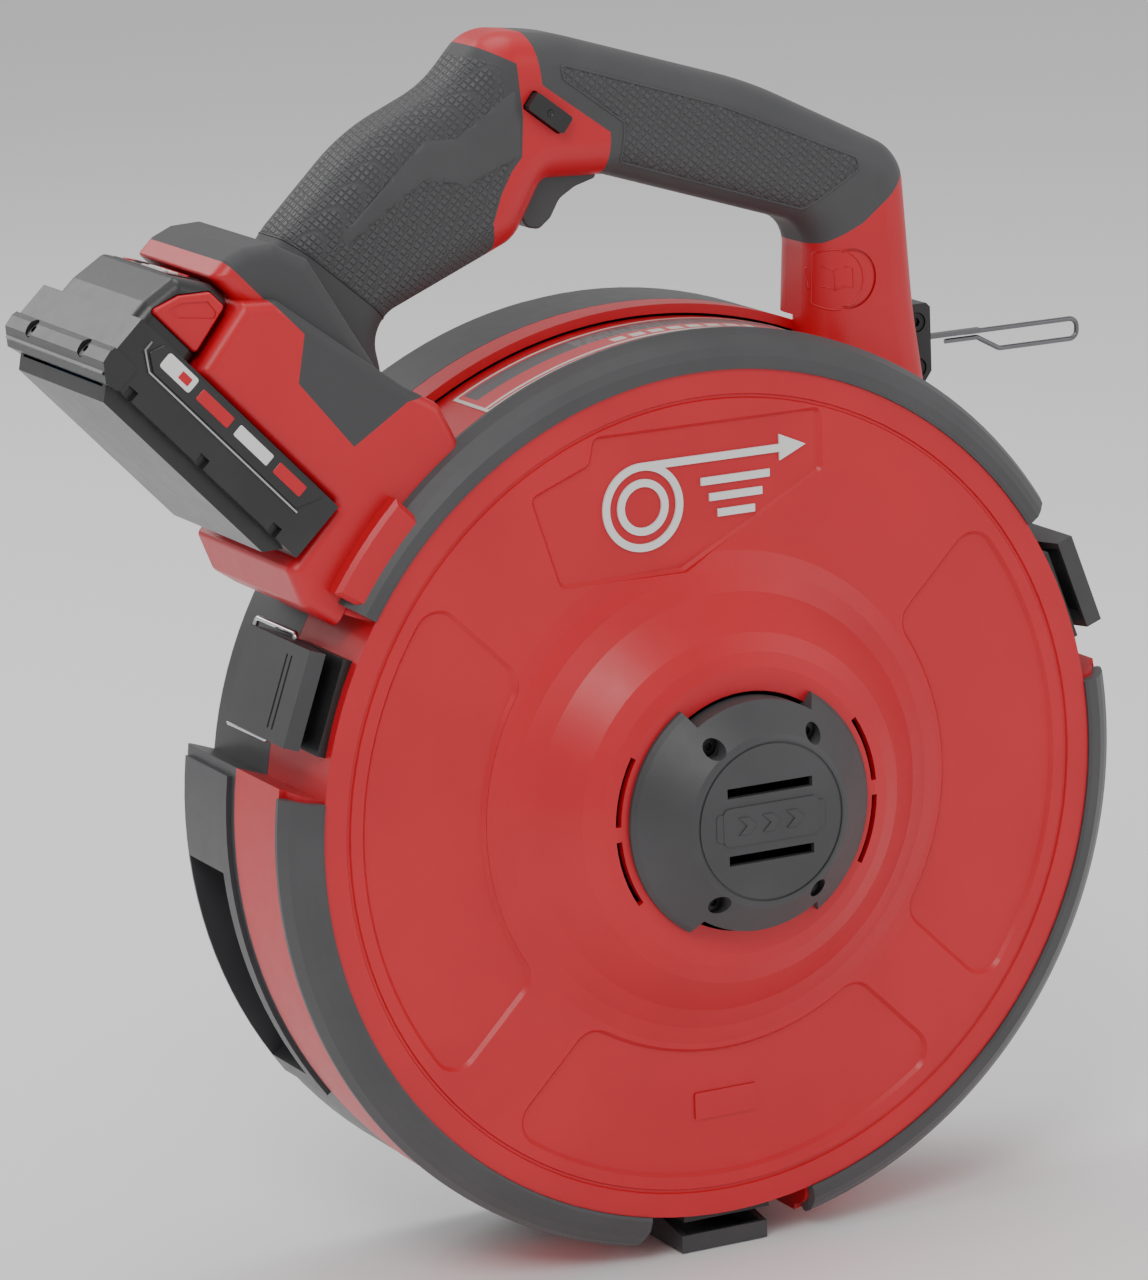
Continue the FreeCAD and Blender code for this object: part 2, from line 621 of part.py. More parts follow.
def motor_cap():
    """Conical vented cap on the dome with ears, notches and screw holes."""
    seat_y = FACE_Y - DOME_H
    outer = revolve([(0, seat_y + 1.5), (CAP_SEAT_R - 4.4, seat_y + 1.5), (CAP_SEAT_R - 4.4, seat_y),
                     (CAP_SEAT_R, seat_y), (CAP_SEAT_R, seat_y - 1.6), (CAP_SEAT_R - 1.4, seat_y - 3.4),
                     (CAP_TOP_R + 1.6, seat_y - CAP_H + 0.6), (CAP_TOP_R, seat_y - CAP_H), (0, seat_y - CAP_H)])
    for deg in (90, 270):
        notch = ring(CAP_SEAT_R - 5.5, CAP_SEAT_R + 5, seat_y - CAP_H - 1, seat_y + 3)
        outer = outer.cut(notch.common(wedge(deg - 33, deg + 33, seat_y - CAP_H - 1, seat_y + 3)))
    hollow = revolve([(0, seat_y + 3), (CAP_SEAT_R - 8, seat_y + 3), (CAP_SEAT_R - 8, seat_y - 3),
                      (CAP_TOP_R - CAP_WALL, seat_y - CAP_H + CAP_WALL), (0, seat_y - CAP_H + CAP_WALL)])
    posts = []
    bores = []
    for deg in (55, 125, 235, 305):
        spot = polar(CAP_SCREW_PCR, deg)
        posts.append(ring(0, 4.4, seat_y - 8, seat_y + 1.5, spot.x, spot.z))
        bores.append(ring(0, CAP_SCREW_R, seat_y - 40, seat_y + 5, spot.x, spot.z))
        bores.append(ring(0, 3.4, seat_y - 40, seat_y - 6, spot.x, spot.z))
    cap = outer.cut(hollow).fuse(fuse(posts).common(outer)).cut(fuse(bores))
    disc_groove = ring(CAP_TOP_R - 1.6, CAP_TOP_R - 0.8, seat_y - CAP_H - 1, seat_y - CAP_H + 0.5)
    cap = cap.cut(disc_groove)
    for z in (-11.5, 11.5):
        cap = cap.cut(box(-16, 16, seat_y - CAP_H - 1, seat_y - CAP_H + 5, z - 1.7, z + 1.7))
    plate = rounded_prism([(-18, -6.5), (18, -6.5), (18, 6.5), (-18, 6.5)], 2.5, seat_y - CAP_H - 0.5, seat_y - CAP_H + 0.2)
    return cap.fuse(plate)


def cap_screws():
    """Four screws that hold the cap to the gearbox housing."""
    seat_y = FACE_Y - DOME_H
    screws = []
    for deg in (55, 125, 235, 305):
        spot = polar(CAP_SCREW_PCR, deg)
        shank = ring(0, CAP_SCREW_R - 0.2, seat_y - 6, seat_y + 9, spot.x, spot.z)
        head = ring(0, 3.1, seat_y - 8.2, seat_y - 6, spot.x, spot.z)
        hex_hole = hexagon(1.3, seat_y - 9, seat_y - 7, spot.x, spot.z)
        screws.append(shank.fuse(head).cut(hex_hole))
    return group(screws)


def hexagon(apothem, y0, y1, x=0.0, z=0.0):
    """Hexagonal bar on an axis along Y, by its half width across flats."""
    corner = apothem / math.cos(math.radians(30))
    outline = [(x + corner * math.cos(math.radians(60 * i)), z + corner * math.sin(math.radians(60 * i)))
               for i in range(6)]
    return prism(outline, y0, y1)


def handle_shell_rear():
    """Rear half of the handle with the red band behind the seam."""
    clear = ring(0, BAND_IN_R, SEAM_Y - 1, REAR_Y + 40)
    shell = grip_shell(1).cut(clear)
    shell = shell.cut(box(40, 130, SEAM_Y + 0.1, REAR_Y + 10, NOZZLE_Z0 - 30, NOZZLE_Z1 + 2))
    band = ring(BAND_IN_R, BAND_OUT_R, SEAM_Y, BAND_BACK_Y).common(wedge(59.5, 142, SEAM_Y, REAR_Y))
    shell = shell.fuse(band)
    heads = [ring(0, HANDLE_SCREW_HEAD_R + 0.3, SCREW_HEAD_Y, REAR_Y, x, z) for x, z in SCREW_SPOTS[:-1]]
    return shell.cut(fuse(heads)).cut(ring(0, 6, SCREW_HEAD_Y, REAR_Y, *SCREW_SPOTS[-1]))


def handle_screws():
    """Screws that join the two handle halves from the rear."""
    screws = []
    for x, z in SCREW_SPOTS[:-1]:
        shank = ring(0, HANDLE_SCREW_R, SCREW_FRONT_Y, SCREW_HEAD_Y, x, z)
        head = ring(0, HANDLE_SCREW_HEAD_R, SCREW_HEAD_Y, SCREW_HEAD_Y + 2.4, x, z)
        screws.append(shank.fuse(head).cut(hexagon(1.5, SCREW_HEAD_Y + 1, SCREW_HEAD_Y + 3, x, z)))
    return group(screws)


def rubber(outline, with_foot):
    """Both halves of one rubber overmould, joined at the seam and open over the screw heads."""
    skin = overmould(outline, -1, with_foot).fuse(overmould(outline, 1, with_foot))
    heads = [ring(0, HANDLE_SCREW_HEAD_R + 0.3, SCREW_HEAD_Y, REAR_Y, x, z) for x, z in SCREW_SPOTS]
    skin = skin.cut(fuse(heads)).cut(ring(0, BAND_OUT_R, SEAM_Y, REAR_Y + 40))
    return skin.cut(trigger_slot()).cut(selector_bar(SLOT_GAP, SEAM_Y - 40, SEAM_Y + 40))


# ---- Labels and marks ---------------------------------------------------------------------
LABEL_T = 0.35
LABEL_FRONT_Y = FACE_Y + BUMPER_DEPTH + 0.8
LABEL_BACK_Y = -51.5


def rating_label():
    """Curved label on top of the rim."""
    return ring(RIM_R, RIM_R + LABEL_T, LABEL_FRONT_Y, LABEL_BACK_Y).common(wedge(73, 118, FACE_Y, SEAM_Y))


EMBLEM_T = 0.8


def emblem():
    """Raised generic mark: a coiled tape with its end, over three short bars."""
    y0 = FACE_Y + RELIEF_DEPTH - EMBLEM_T
    y1 = FACE_Y + RELIEF_DEPTH
    centre_x = -24.0
    centre_z = 103.0
    pieces = []
    for r_out in (15.0, 9.5):
        pieces.append(ring(r_out - 2.6, r_out, y0, y1, centre_x, centre_z))
    pieces.append(prism([(centre_x, centre_z + 12.4), (28, centre_z + 12.4), (28, centre_z + 9.4), (38, centre_z + 13.9),
                         (28, centre_z + 18.4), (28, centre_z + 15.0), (centre_x, centre_z + 15.0)], y0, y1))
    bars = [box(-2 + 3 * i, 24 - 3 * i, y0, y1, 107.5 - 5.6 * i, 110.1 - 5.6 * i) for i in range(3)]
    return group([fuse(pieces)] + bars)


# ---- Controls -----------------------------------------------------------------------------
def trigger():
    """Curved trigger with its guide blade."""
    outline = [(-16.5, 208.5), (-25.5, 206.0), (-31.5, 202.5), (-35.0, 196.5), (-39.5, 193.0), (-44.0, 194.0),
               (-46.8, 199.0), (-46.6, 209.0), (-40.0, 215.0), (-30.0, 215.5), (-21.0, 213.5)]
    radii = [1.5, 8, 6, 5, 3, 3, 3, 3, 3, 3, 2]
    y0 = SEAM_Y - TRIGGER_HALF_W
    y1 = SEAM_Y + TRIGGER_HALF_W
    block = rounded_prism(outline, radii, y0, y1)
    return filleted(block, 1.2, lambda e: all(abs(v.Y - y0) < 1e-4 or abs(v.Y - y1) < 1e-4 for v in e.Vertexes)
                    and e.BoundBox.ZMin < 208)


def trigger_switch():
    """Switch block behind the trigger with its plunger boss."""
    return rounded_prism([(-74, 214), (-60, 206), (-48, 227), (-62, 235)], 1.5, SEAM_Y - 8, SEAM_Y + 8)


def trigger_spring():
    """Coil spring between the switch and the trigger."""
    start = V(-41.5, SEAM_Y, 215.5)
    turns = 4
    pitch = 2.0
    helix = Part.makeHelix(pitch, pitch * turns, 2.6)
    edge_start = helix.Edges[0].valueAt(helix.Edges[0].FirstParameter)
    circle = Part.Wire(Part.makeCircle(0.4, edge_start, V(0, 1, 0.12)))
    coil = Part.Wire(helix.Edges).makePipeShell([circle], True, True)
    tilt = math.degrees(math.atan2(TRIGGER_DIR.x, TRIGGER_DIR.z))
    coil.rotate(ORIGIN, Y_AXIS, tilt)
    coil.translate(start)
    return coil


def selector():
    """Forward and reverse selector bar that passes through the head."""
    bar = selector_bar(0, SEAM_Y - SELECTOR_HALF, SEAM_Y + SELECTOR_HALF)
    for side in (-1, 1):
        dimple = Part.makeSphere(1.6, V(SELECTOR_X, SEAM_Y + side * (SELECTOR_HALF + 0.9), SELECTOR_Z))
        bar = bar.cut(dimple)
    return bar


def control_board():
    """Circuit board with its main components, in the foot."""
    board = foot_box(5, 31, RAIL_H + 6, RAIL_H + 7.6, SEAM_Y - 22, SEAM_Y + 22)
    chips = [foot_box(8 + 8 * i, 14 + 8 * i, RAIL_H + 7.6, RAIL_H + 9.6, SEAM_Y - 14 + 9 * i, SEAM_Y - 6 + 9 * i)
             for i in range(3)]
    can_base = foot_at(25, RAIL_H + 7.6, SEAM_Y - 15)
    up = foot_at(0, 1) - foot_at(0, 0)
    return fuse([board, Part.makeCylinder(3.5, 6, can_base, up)] + chips)


BLADE_Y = (-14.0, 0.0, 14.0)


def terminal_block():
    """Battery terminal block with its three blades."""
    base = foot_box(CHANNEL_S, CHANNEL_S + 2.2, 1.0, RAIL_H, SEAM_Y - 22, SEAM_Y + 22)
    blades = [foot_box(CHANNEL_S + 2.2, CHANNEL_S + 12, 4.0, 10.0, SEAM_Y + y - 0.5, SEAM_Y + y + 0.5) for y in BLADE_Y]
    return fuse([base] + blades)


# ---- Battery ------------------------------------------------------------------------------
BATTERY_S0 = 0.6
TOWER_S = FOOT_LEN + 0.8
TOWER_TOP_H = LIP_LOW - 1.3
SLOPE_S = 80.0              # where the gauge slope starts, up the battery face
SLOPE_LEN = 13.3
SLOPE_DIR = (0.864, -0.503)
GAUGE_BUTTON_T = 6.6
TOWER_HALF_W = 33.0


def slope_at(t, d):
    """Battery-frame point on the gauge slope: t along it and d out of it."""
    return (SLOPE_S + t * SLOPE_DIR[0] - d * SLOPE_DIR[1], TOWER_TOP_H + t * SLOPE_DIR[1] + d * SLOPE_DIR[0])


TOWER_OUTLINE = ((TOWER_S, -6.0), (TOWER_S, 0.0), (TOWER_S + 3.5, TOWER_TOP_H), (SLOPE_S, TOWER_TOP_H),
                 slope_at(SLOPE_LEN, 0), (94.0, 6.0), (94.0, -6.0))


def battery_top():
    """Upper case of the battery: rail block, tower and walls."""
    y0 = SEAM_Y - BATTERY_HALF_W
    y1 = SEAM_Y + BATTERY_HALF_W
    deck = foot_box(BATTERY_S0, BATTERY_LEN - 1.5, BATTERY_SPLIT_H, -0.4, y0, y1)
    tower = foot_prism(TOWER_OUTLINE, SEAM_Y - TOWER_HALF_W, SEAM_Y + TOWER_HALF_W, 2.0)
    tower = filleted(tower, 5.0, lambda e: all(abs(abs(v.Y - SEAM_Y) - TOWER_HALF_W) < 1e-4 for v in e.Vertexes)
                     and e.CenterOfMass.distanceToPoint(foot_at(TOWER_S + 1.7, 12, e.CenterOfMass.y)) > 9
                     and e.CenterOfMass.distanceToPoint(foot_at(TOWER_S + 13, -6, e.CenterOfMass.y)) > 4)
    rails = foot_box(CHANNEL_S + 2.7, TOWER_S + 3, -1, RAIL_H, SEAM_Y - RAIL_HALF_W, SEAM_Y + RAIL_HALF_W)
    for side in (-1, 1):
        edge = SEAM_Y + side * RAIL_HALF_W
        rails = rails.cut(foot_box(0, TOWER_S - 0.5, 3.0, 6.5, min(edge, edge - side * 3), max(edge, edge - side * 3)))
    case = fuse([deck, tower, rails])
    hollow = foot_box(6, BATTERY_LEN - 6, BATTERY_SPLIT_H - 1, -3.2, y0 + 3, y1 - 3)
    case = case.cut(hollow)
    slots = [foot_box(0, 19, 3.0, 11.0, SEAM_Y + y - 1.4, SEAM_Y + y + 1.4) for y in BLADE_Y]
    case = case.cut(fuse(slots))
    for side in (-1, 1):
        case = case.cut(button_block(side, 0.35))
    return case.cut(gauge_recess())


BUTTON_OUTLINE = ((TOWER_S + 2.2, 4.5), (TOWER_S + 5.0, 22.4), (TOWER_S + 12.0, 22.4), (TOWER_S + 19.5, 14.5),
                  (TOWER_S + 23.5, 4.5))
BUTTON_TRAVEL = 2.5
BUTTON_PROUD = 1.6
BUTTON_DEPTH = 9.0


def button_block(side, grow):
    """Body of one battery release button, grown all round for its pocket."""
    centre_s = TOWER_S + 12.0
    centre_h = 12.0
    outline = []
    for s, h in BUTTON_OUTLINE:
        away = math.hypot(s - centre_s, h - centre_h)
        factor = 1 + grow / away * 1.35
        outline.append((centre_s + (s - centre_s) * factor, centre_h + (h - centre_h) * factor))
    depth = BUTTON_DEPTH + (BUTTON_TRAVEL + 0.3 if grow else 0.0)
    proud = BUTTON_PROUD + (3 if grow else 0.0)
    return foot_prism(outline, SEAM_Y + side * (TOWER_HALF_W - depth), SEAM_Y + side * (TOWER_HALF_W + proud), 1.5)


def release_button(side):
    """Battery release button with softened edges and a finger step."""
    outer = SEAM_Y + side * (TOWER_HALF_W + BUTTON_PROUD)
    block = button_block(side, 0)
    block = filleted(block, 1.2, lambda e: all(abs(v.Y - outer) < 1e-4 for v in e.Vertexes))
    step = foot_prism([(TOWER_S + 6.0, 19.0), (TOWER_S + 5.2, 17.0), (TOWER_S + 15.0, 9.0), (TOWER_S + 20.0, 8.0),
                       (TOWER_S + 17.5, 13.4), (TOWER_S + 11.0, 19.6)], outer - side * 0.6, outer + side * 1.0, 1.0)
    return block.cut(step)


def slope_prism(t0, t1, d0, d1, half_w):
    """Block on the gauge slope between two distances along it and two heights off it."""
    return foot_prism([slope_at(t0, d0), slope_at(t1, d0), slope_at(t1, d1), slope_at(t0, d1)], SEAM_Y - half_w,
                      SEAM_Y + half_w)


def slope_rod(radius, d0, d1):
    """Cylinder square to the gauge slope at its button."""
    start = foot_at(*slope_at(GAUGE_BUTTON_T, d0), SEAM_Y + 13)
    end = foot_at(*slope_at(GAUGE_BUTTON_T, d1), SEAM_Y + 13)
    return rod(start, end, radius)


def gauge_recess():
    """Seat of the gauge panel and its button in the slope of the tower."""
    return slope_prism(0.8, 12.5, -1.3, 4, 22.3).fuse(slope_rod(2.4, -4.5, 1))


def gauge_panel():
    """Dark gauge panel on the tower, with a window for its button."""
    return slope_prism(1.0, 12.3, -1.2, 0.35, 22.0).cut(slope_rod(2.4, -3, 3))


def gauge_button():
    """Small button that lights the charge gauge."""
    return slope_rod(2.0, -2.8, 0.8)


def battery_tray():
    """Lower case of the battery with stepped edges and a rounded nose."""
    y0 = SEAM_Y - BATTERY_HALF_W
    y1 = SEAM_Y + BATTERY_HALF_W
    upper = foot_box(BATTERY_S0, BATTERY_LEN - 3, -22.0, BATTERY_SPLIT_H, y0, y1)
    lower = foot_prism([(4, -22), (BATTERY_LEN - 8, -22), (BATTERY_LEN - 12, BATTERY_DEEP_H), (9, BATTERY_DEEP_H)],
                       y0 + 5, y1 - 5)
    nose = foot_prism([(BATTERY_LEN - 11, BATTERY_SPLIT_H), (BATTERY_LEN - 11, -22.5), (BATTERY_LEN - 6, -23.5),
                       (BATTERY_LEN - 0.6, -19.0), (BATTERY_LEN, -15.0), (BATTERY_LEN - 0.5, BATTERY_SPLIT_H)],
                      y0 - 0.8, y1 + 0.8)
    tray = fuse([upper, lower, nose])
    tray = tray.cut(foot_box(5, BATTERY_LEN - 8, -23.6, BATTERY_SPLIT_H + 1, y0 + 7.5, y1 - 7.5))
    steps = []
    for s in (11, 46, 80):
        for side in (-1, 1):
            edge = SEAM_Y + side * BATTERY_HALF_W
            steps.append(foot_box(s, s + 4, -23, -18.5, min(edge, edge - side * 2.4), max(edge, edge - side * 2.4)))
    tray = tray.cut(fuse(steps))
    for side in (-1, 1):
        spot = foot_at(BATTERY_LEN + 1, NOSE_SCREW_H, SEAM_Y + side * 22)
        tray = tray.cut(Part.makeCylinder(3.3, 3.5, spot, foot_at(0, 0) - foot_at(1, 0)))
    return tray


NOSE_SCREW_H = -16.5


def battery_screws():
    """Two screws in the nose of the battery."""
    screws = []
    back = foot_at(0, 0) - foot_at(1, 0)
    for side in (-1, 1):
        spot = foot_at(BATTERY_LEN - 1.2, NOSE_SCREW_H, SEAM_Y + side * 22)
        head = Part.makeCylinder(3.0, 1.3, spot, back)
        screws.append(head.cut(Part.makeCylinder(1.2, 0.8, spot, back)))
    return group(screws)


def battery_cells():
    """Four cells across the battery case."""
    cells = []
    for i in range(4):
        start = foot_at(17.0 + i * (2 * CELL_R + 0.8), -13.4, SEAM_Y - 0.5 * CELL_LEN)
        can = Part.makeCylinder(CELL_R, CELL_LEN, start, Y_AXIS)
        cells.append(can)
    return group(cells)


def battery_contacts():
    """Spring contacts beside the blades of the terminal block."""
    leaves = []
    for y in BLADE_Y:
        for side in (-1, 1):
            leaf = SEAM_Y + y + side * 1.1
            leaves.append(foot_box(8, 17, 4.5, 9.5, leaf - 0.3, leaf + 0.3))
    return group(leaves)


# ---- Drive --------------------------------------------------------------------------------
def involute_tooth(teeth, y0, y1, root_r, tip_r, thinning):
    """One involute tooth centred on +X."""
    pitch_r = 0.5 * GEAR_MODULE * teeth
    base_r = pitch_r * math.cos(math.radians(20))
    half_pitch = 0.5 * (0.5 * math.pi * GEAR_MODULE - thinning) / pitch_r
    inv_pitch = math.tan(math.radians(20)) - math.radians(20)
    flank = []
    start_r = max(base_r, root_r)
    for i in range(6):
        r = start_r + (tip_r - start_r) * i / 5
        pressure = math.acos(min(1.0, base_r / r))
        angle = half_pitch + inv_pitch - (math.tan(pressure) - pressure)
        flank.append((r, angle))
    flank.insert(0, (root_r - 0.3, flank[0][1]))
    points = [(r * math.cos(a), -r * math.sin(a)) for r, a in flank]
    points += [(r * math.cos(a), r * math.sin(a)) for r, a in reversed(flank)]
    return prism(points, y0, y1)


def external_gear(teeth, y0, y1, bore_r):
    """Spur gear about the drum axis, with a tooth centred on +X."""
    pitch_r = 0.5 * GEAR_MODULE * teeth
    root_r = pitch_r - 1.25 * GEAR_MODULE
    tip_r = pitch_r + 0.95 * GEAR_MODULE
    tooth = involute_tooth(teeth, y0, y1, root_r, tip_r, GEAR_BACKLASH)
    wheel = ring(0, root_r, y0, y1)
    wheel = wheel.multiFuse([turned(tooth, 360.0 * i / teeth) for i in range(teeth)])
    if bore_r:
        wheel = wheel.cut(ring(0, bore_r, y0 - 1, y1 + 1))
    return wheel


def ring_gear():
    """Fixed internal ring gear."""
    pitch_r = 0.5 * GEAR_MODULE * RING_TEETH
    space = involute_tooth(RING_TEETH, GEAR_FRONT_Y - 2, GEAR_BACK_Y + 2, pitch_r - GEAR_MODULE * 0.9,
                           pitch_r + 1.3 * GEAR_MODULE, -GEAR_BACKLASH)
    blank = ring(pitch_r - 0.95 * GEAR_MODULE, GEARCASE_R - WALL - 0.4, GEAR_FRONT_Y - 1, GEAR_BACK_Y + 1)
    spaces = [turned(space, 360.0 * (i + 0.5) / RING_TEETH) for i in range(RING_TEETH)]
    return blank.cut(group(spaces))


CENTRE_DISTANCE = 0.5 * GEAR_MODULE * (SUN_TEETH + PLANET_TEETH)


def planet_spot(index):
    """Centre of one planet at rest."""
    return polar(CENTRE_DISTANCE, PLANET_DEGS[index])


def planet_gear(index):
    """One planet on its pin; a gap faces the sun's tooth and the ring's tooth."""
    wheel = external_gear(PLANET_TEETH, GEAR_FRONT_Y, GEAR_BACK_Y, PIN_R + RUN_FIT)
    wheel.translate(planet_spot(index))
    return wheel


def rotor_shaft():
    """Motor shaft with the sun pinion cut on its end."""
    shaft = ring(0, SHAFT_R, MOTOR_FRONT_Y - 8, GEAR_BACK_Y)
    return shaft.fuse(external_gear(SUN_TEETH, GEAR_FRONT_Y, GEAR_BACK_Y, 0))


def rotor_core():
    """Magnet rotor pressed on the shaft."""
    core = ring(SHAFT_R, ROTOR_R, MOTOR_FRONT_Y + 1, MOTOR_BACK_Y - 1)
    slots = [ring(0, 1.2, MOTOR_FRONT_Y, MOTOR_BACK_Y, polar(ROTOR_R + 0.6, 45 * i).x, polar(ROTOR_R + 0.6, 45 * i).z)
             for i in range(8)]
    return core.cut(fuse(slots))


def motor_stator():
    """Stator stack with six wound teeth."""
    stack = ring(ROTOR_R + AIR_GAP, STATOR_R, MOTOR_FRONT_Y, MOTOR_BACK_Y)
    slots = []
    for i in range(6):
        pocket = ring(ROTOR_R + AIR_GAP + 3, STATOR_R - 4, MOTOR_FRONT_Y - 1, MOTOR_BACK_Y + 1)
        slots.append(pocket.common(wedge(60 * i + 8, 60 * i + 52, MOTOR_FRONT_Y - 2, MOTOR_BACK_Y + 2)))
    return stack.cut(fuse(slots))


def motor_windings():
    """Copper windings that fill the stator slots."""
    coils = []
    for i in range(6):
        pocket = ring(ROTOR_R + AIR_GAP + 3.5, STATOR_R - 4.5, MOTOR_FRONT_Y - 0.5, MOTOR_BACK_Y + 0.5)
        coils.append(pocket.common(wedge(60 * i + 10, 60 * i + 50, MOTOR_FRONT_Y - 2, MOTOR_BACK_Y + 2)))
    return group(coils)


def motor_fan():
    """Cooling fan on the front end of the shaft."""
    y0 = MOTOR_FRONT_Y - 8
    y1 = MOTOR_FRONT_Y - 4.5
    hub = ring(SHAFT_R, 7, y0, y1)
    blades = []
    for i in range(9):
        blade = box(6.5, 22, y0, y1, -0.6, 0.6)
        blade.rotate(V(6.5, 0, 0), Y_AXIS, 18)
        blades.append(turned(blade, 40 * i))
    return fuse([hub, ring(SHAFT_R + 0.5, 20, y1 - 0.8, y1)] + blades)


BEARING_Y = (MOTOR_FRONT_Y - 4.2 + 0.2, MOTOR_BACK_Y + 1.0)


def motor_bearings():
    """Two shaft bearings."""
    return group([ring(SHAFT_R + RUN_FIT, BEARING_R, y, y + BEARING_W - 0.4) for y in BEARING_Y])


def gearbox_housing():
    """Motor and gear case, open at the rear and vented at the front."""
    front = MOTOR_FRONT_Y - 4.0
    back = SEAM_Y - 9.5
    case = ring(GEARCASE_R - WALL - 0.4, GEARCASE_R, front, back)
    spider = ring(BEARING_R, GEARCASE_R, front, front + 3.4)
    web = ring(BEARING_R, GEARCASE_R, MOTOR_BACK_Y + 1.0, MOTOR_BACK_Y + 1.0 + BEARING_W - 0.6)
    flange = ring(GEARCASE_R, 44, back - 3, back)
    vents = [ring(0, 4.5, front - 1, front + 5, polar(17, 60 * i).x, polar(17, 60 * i).z) for i in range(6)]
    ears = []
    for deg in (55, 125, 235, 305):
        spot = polar(CAP_SCREW_PCR + 0.5, deg)
        ears.append(ring(CAP_SCREW_R - 0.2, 4.2, front, front + 8, spot.x, spot.z))
    body = fuse([case, spider, web, flange]).cut(fuse(vents))
    ears_shape = fuse(ears).cut(ring(0, GEARCASE_R - WALL - 0.4, front + 3.4, back))
    return body.fuse(ears_shape).cut(fuse([ring(0, CAP_SCREW_R - 0.2, front - 1, front + 9, polar(CAP_SCREW_PCR, deg).x,
                                                 polar(CAP_SCREW_PCR, deg).z) for deg in (55, 125, 235, 305)]))


def planet_pins():
    """Pins that carry the planets."""
    spots = [planet_spot(index) for index in range(len(PLANET_DEGS))]
    return group([ring(0, PIN_R, GEAR_FRONT_Y - 1.5, GEAR_BACK_Y + 5, spot.x, spot.z) for spot in spots])


CARRIER_Y = GEAR_BACK_Y + 1.2
HEX_APOTHEM = 6.0


def planet_carrier():
    """Carrier plate with the output shaft and its hexagonal end."""
    plate = ring(0, 21.5, CARRIER_Y, CARRIER_Y + 4)
    spots = [planet_spot(index) for index in range(len(PLANET_DEGS))]
    holes = [ring(0, PIN_R, CARRIER_Y - 1, CARRIER_Y + 6, spot.x, spot.z) for spot in spots]
    shaft = ring(0, OUTPUT_R, CARRIER_Y + 4, SEAM_Y)
    return fuse([plate.cut(fuse(holes)), shaft, hexagon(HEX_APOTHEM, SEAM_Y, COIL_FRONT_Y + 8)])


def output_bearing():
    """Bearing of the output shaft in the mid plate."""
    return ring(OUTPUT_R + RUN_FIT, OUTPUT_BEARING_R, SEAM_Y - 8.5, SEAM_Y - 1.5)


def inner_plate():
    """Mid plate that closes the drive housing towards the drum."""
    plate = ring(OUTPUT_R + 1.5, FACE_R - WALL - 0.4, SEAM_Y - 3.2, SEAM_Y - 0.6)
    boss = ring(OUTPUT_BEARING_R, OUTPUT_BEARING_R + 4, SEAM_Y - 9.5, SEAM_Y - 1)
    flange = ring(OUTPUT_BEARING_R + 4, 46, SEAM_Y - 9.5, SEAM_Y - 3.2)
    seat = ring(0, OUTPUT_BEARING_R, SEAM_Y - 9.5, SEAM_Y - 1.5)
    ribs = [turned(box(45, FACE_R - WALL - 1, SEAM_Y - 8, SEAM_Y - 3.2, -1.2, 1.2), 60 * i) for i in range(6)]
    return fuse([plate, boss, flange] + ribs).cut(seat)


# ---- Tape drum ----------------------------------------------------------------------------
SLOT_ANGLES = (185.0, 214.0)
SLOT_FLOOR_R = FACE_R + 0.2


def drum_slot():
    """Tapered finger slot in the rim of the drum."""
    block = ring(SLOT_FLOOR_R, RIM_R + 6, -34, -6).common(wedge(SLOT_ANGLES[0], SLOT_ANGLES[1], -40, 0))
    taper = prism([(-200, -200), (-200, 100), (0, 100), (0, -200)], -34, -6)
    return block.common(taper)


def tape_passage(grow=0.0):
    """Path of the tape from the reel to the outlet, with clearance."""
    return box(0, NOZZLE_X1 + 20, TAPE_Y - 0.5 * TAPE_W - 1.2 - grow, TAPE_Y + 0.5 * TAPE_W + 1.2 + grow,
               TAPE_Z - 0.5 * TAPE_T - 1.6 - grow, TAPE_Z + 0.5 * TAPE_T + 1.6 + grow)


def drum_band():
    """Raised band on top of the drum, level with the red band in front of it."""
    band = ring(RIM_R - 2, BAND_OUT_R, BAND_BACK_Y + 0.3, REAR_Y)
    edges = [e for e in band.Edges if abs(e.BoundBox.YMin) < 1e-3 and abs(e.BoundBox.YMax) < 1e-3
             and e.BoundBox.XMax > RIM_R]
    return band.makeFillet(3.0, edges).common(wedge(61, 122.5, SEAM_Y, REAR_Y + 1))


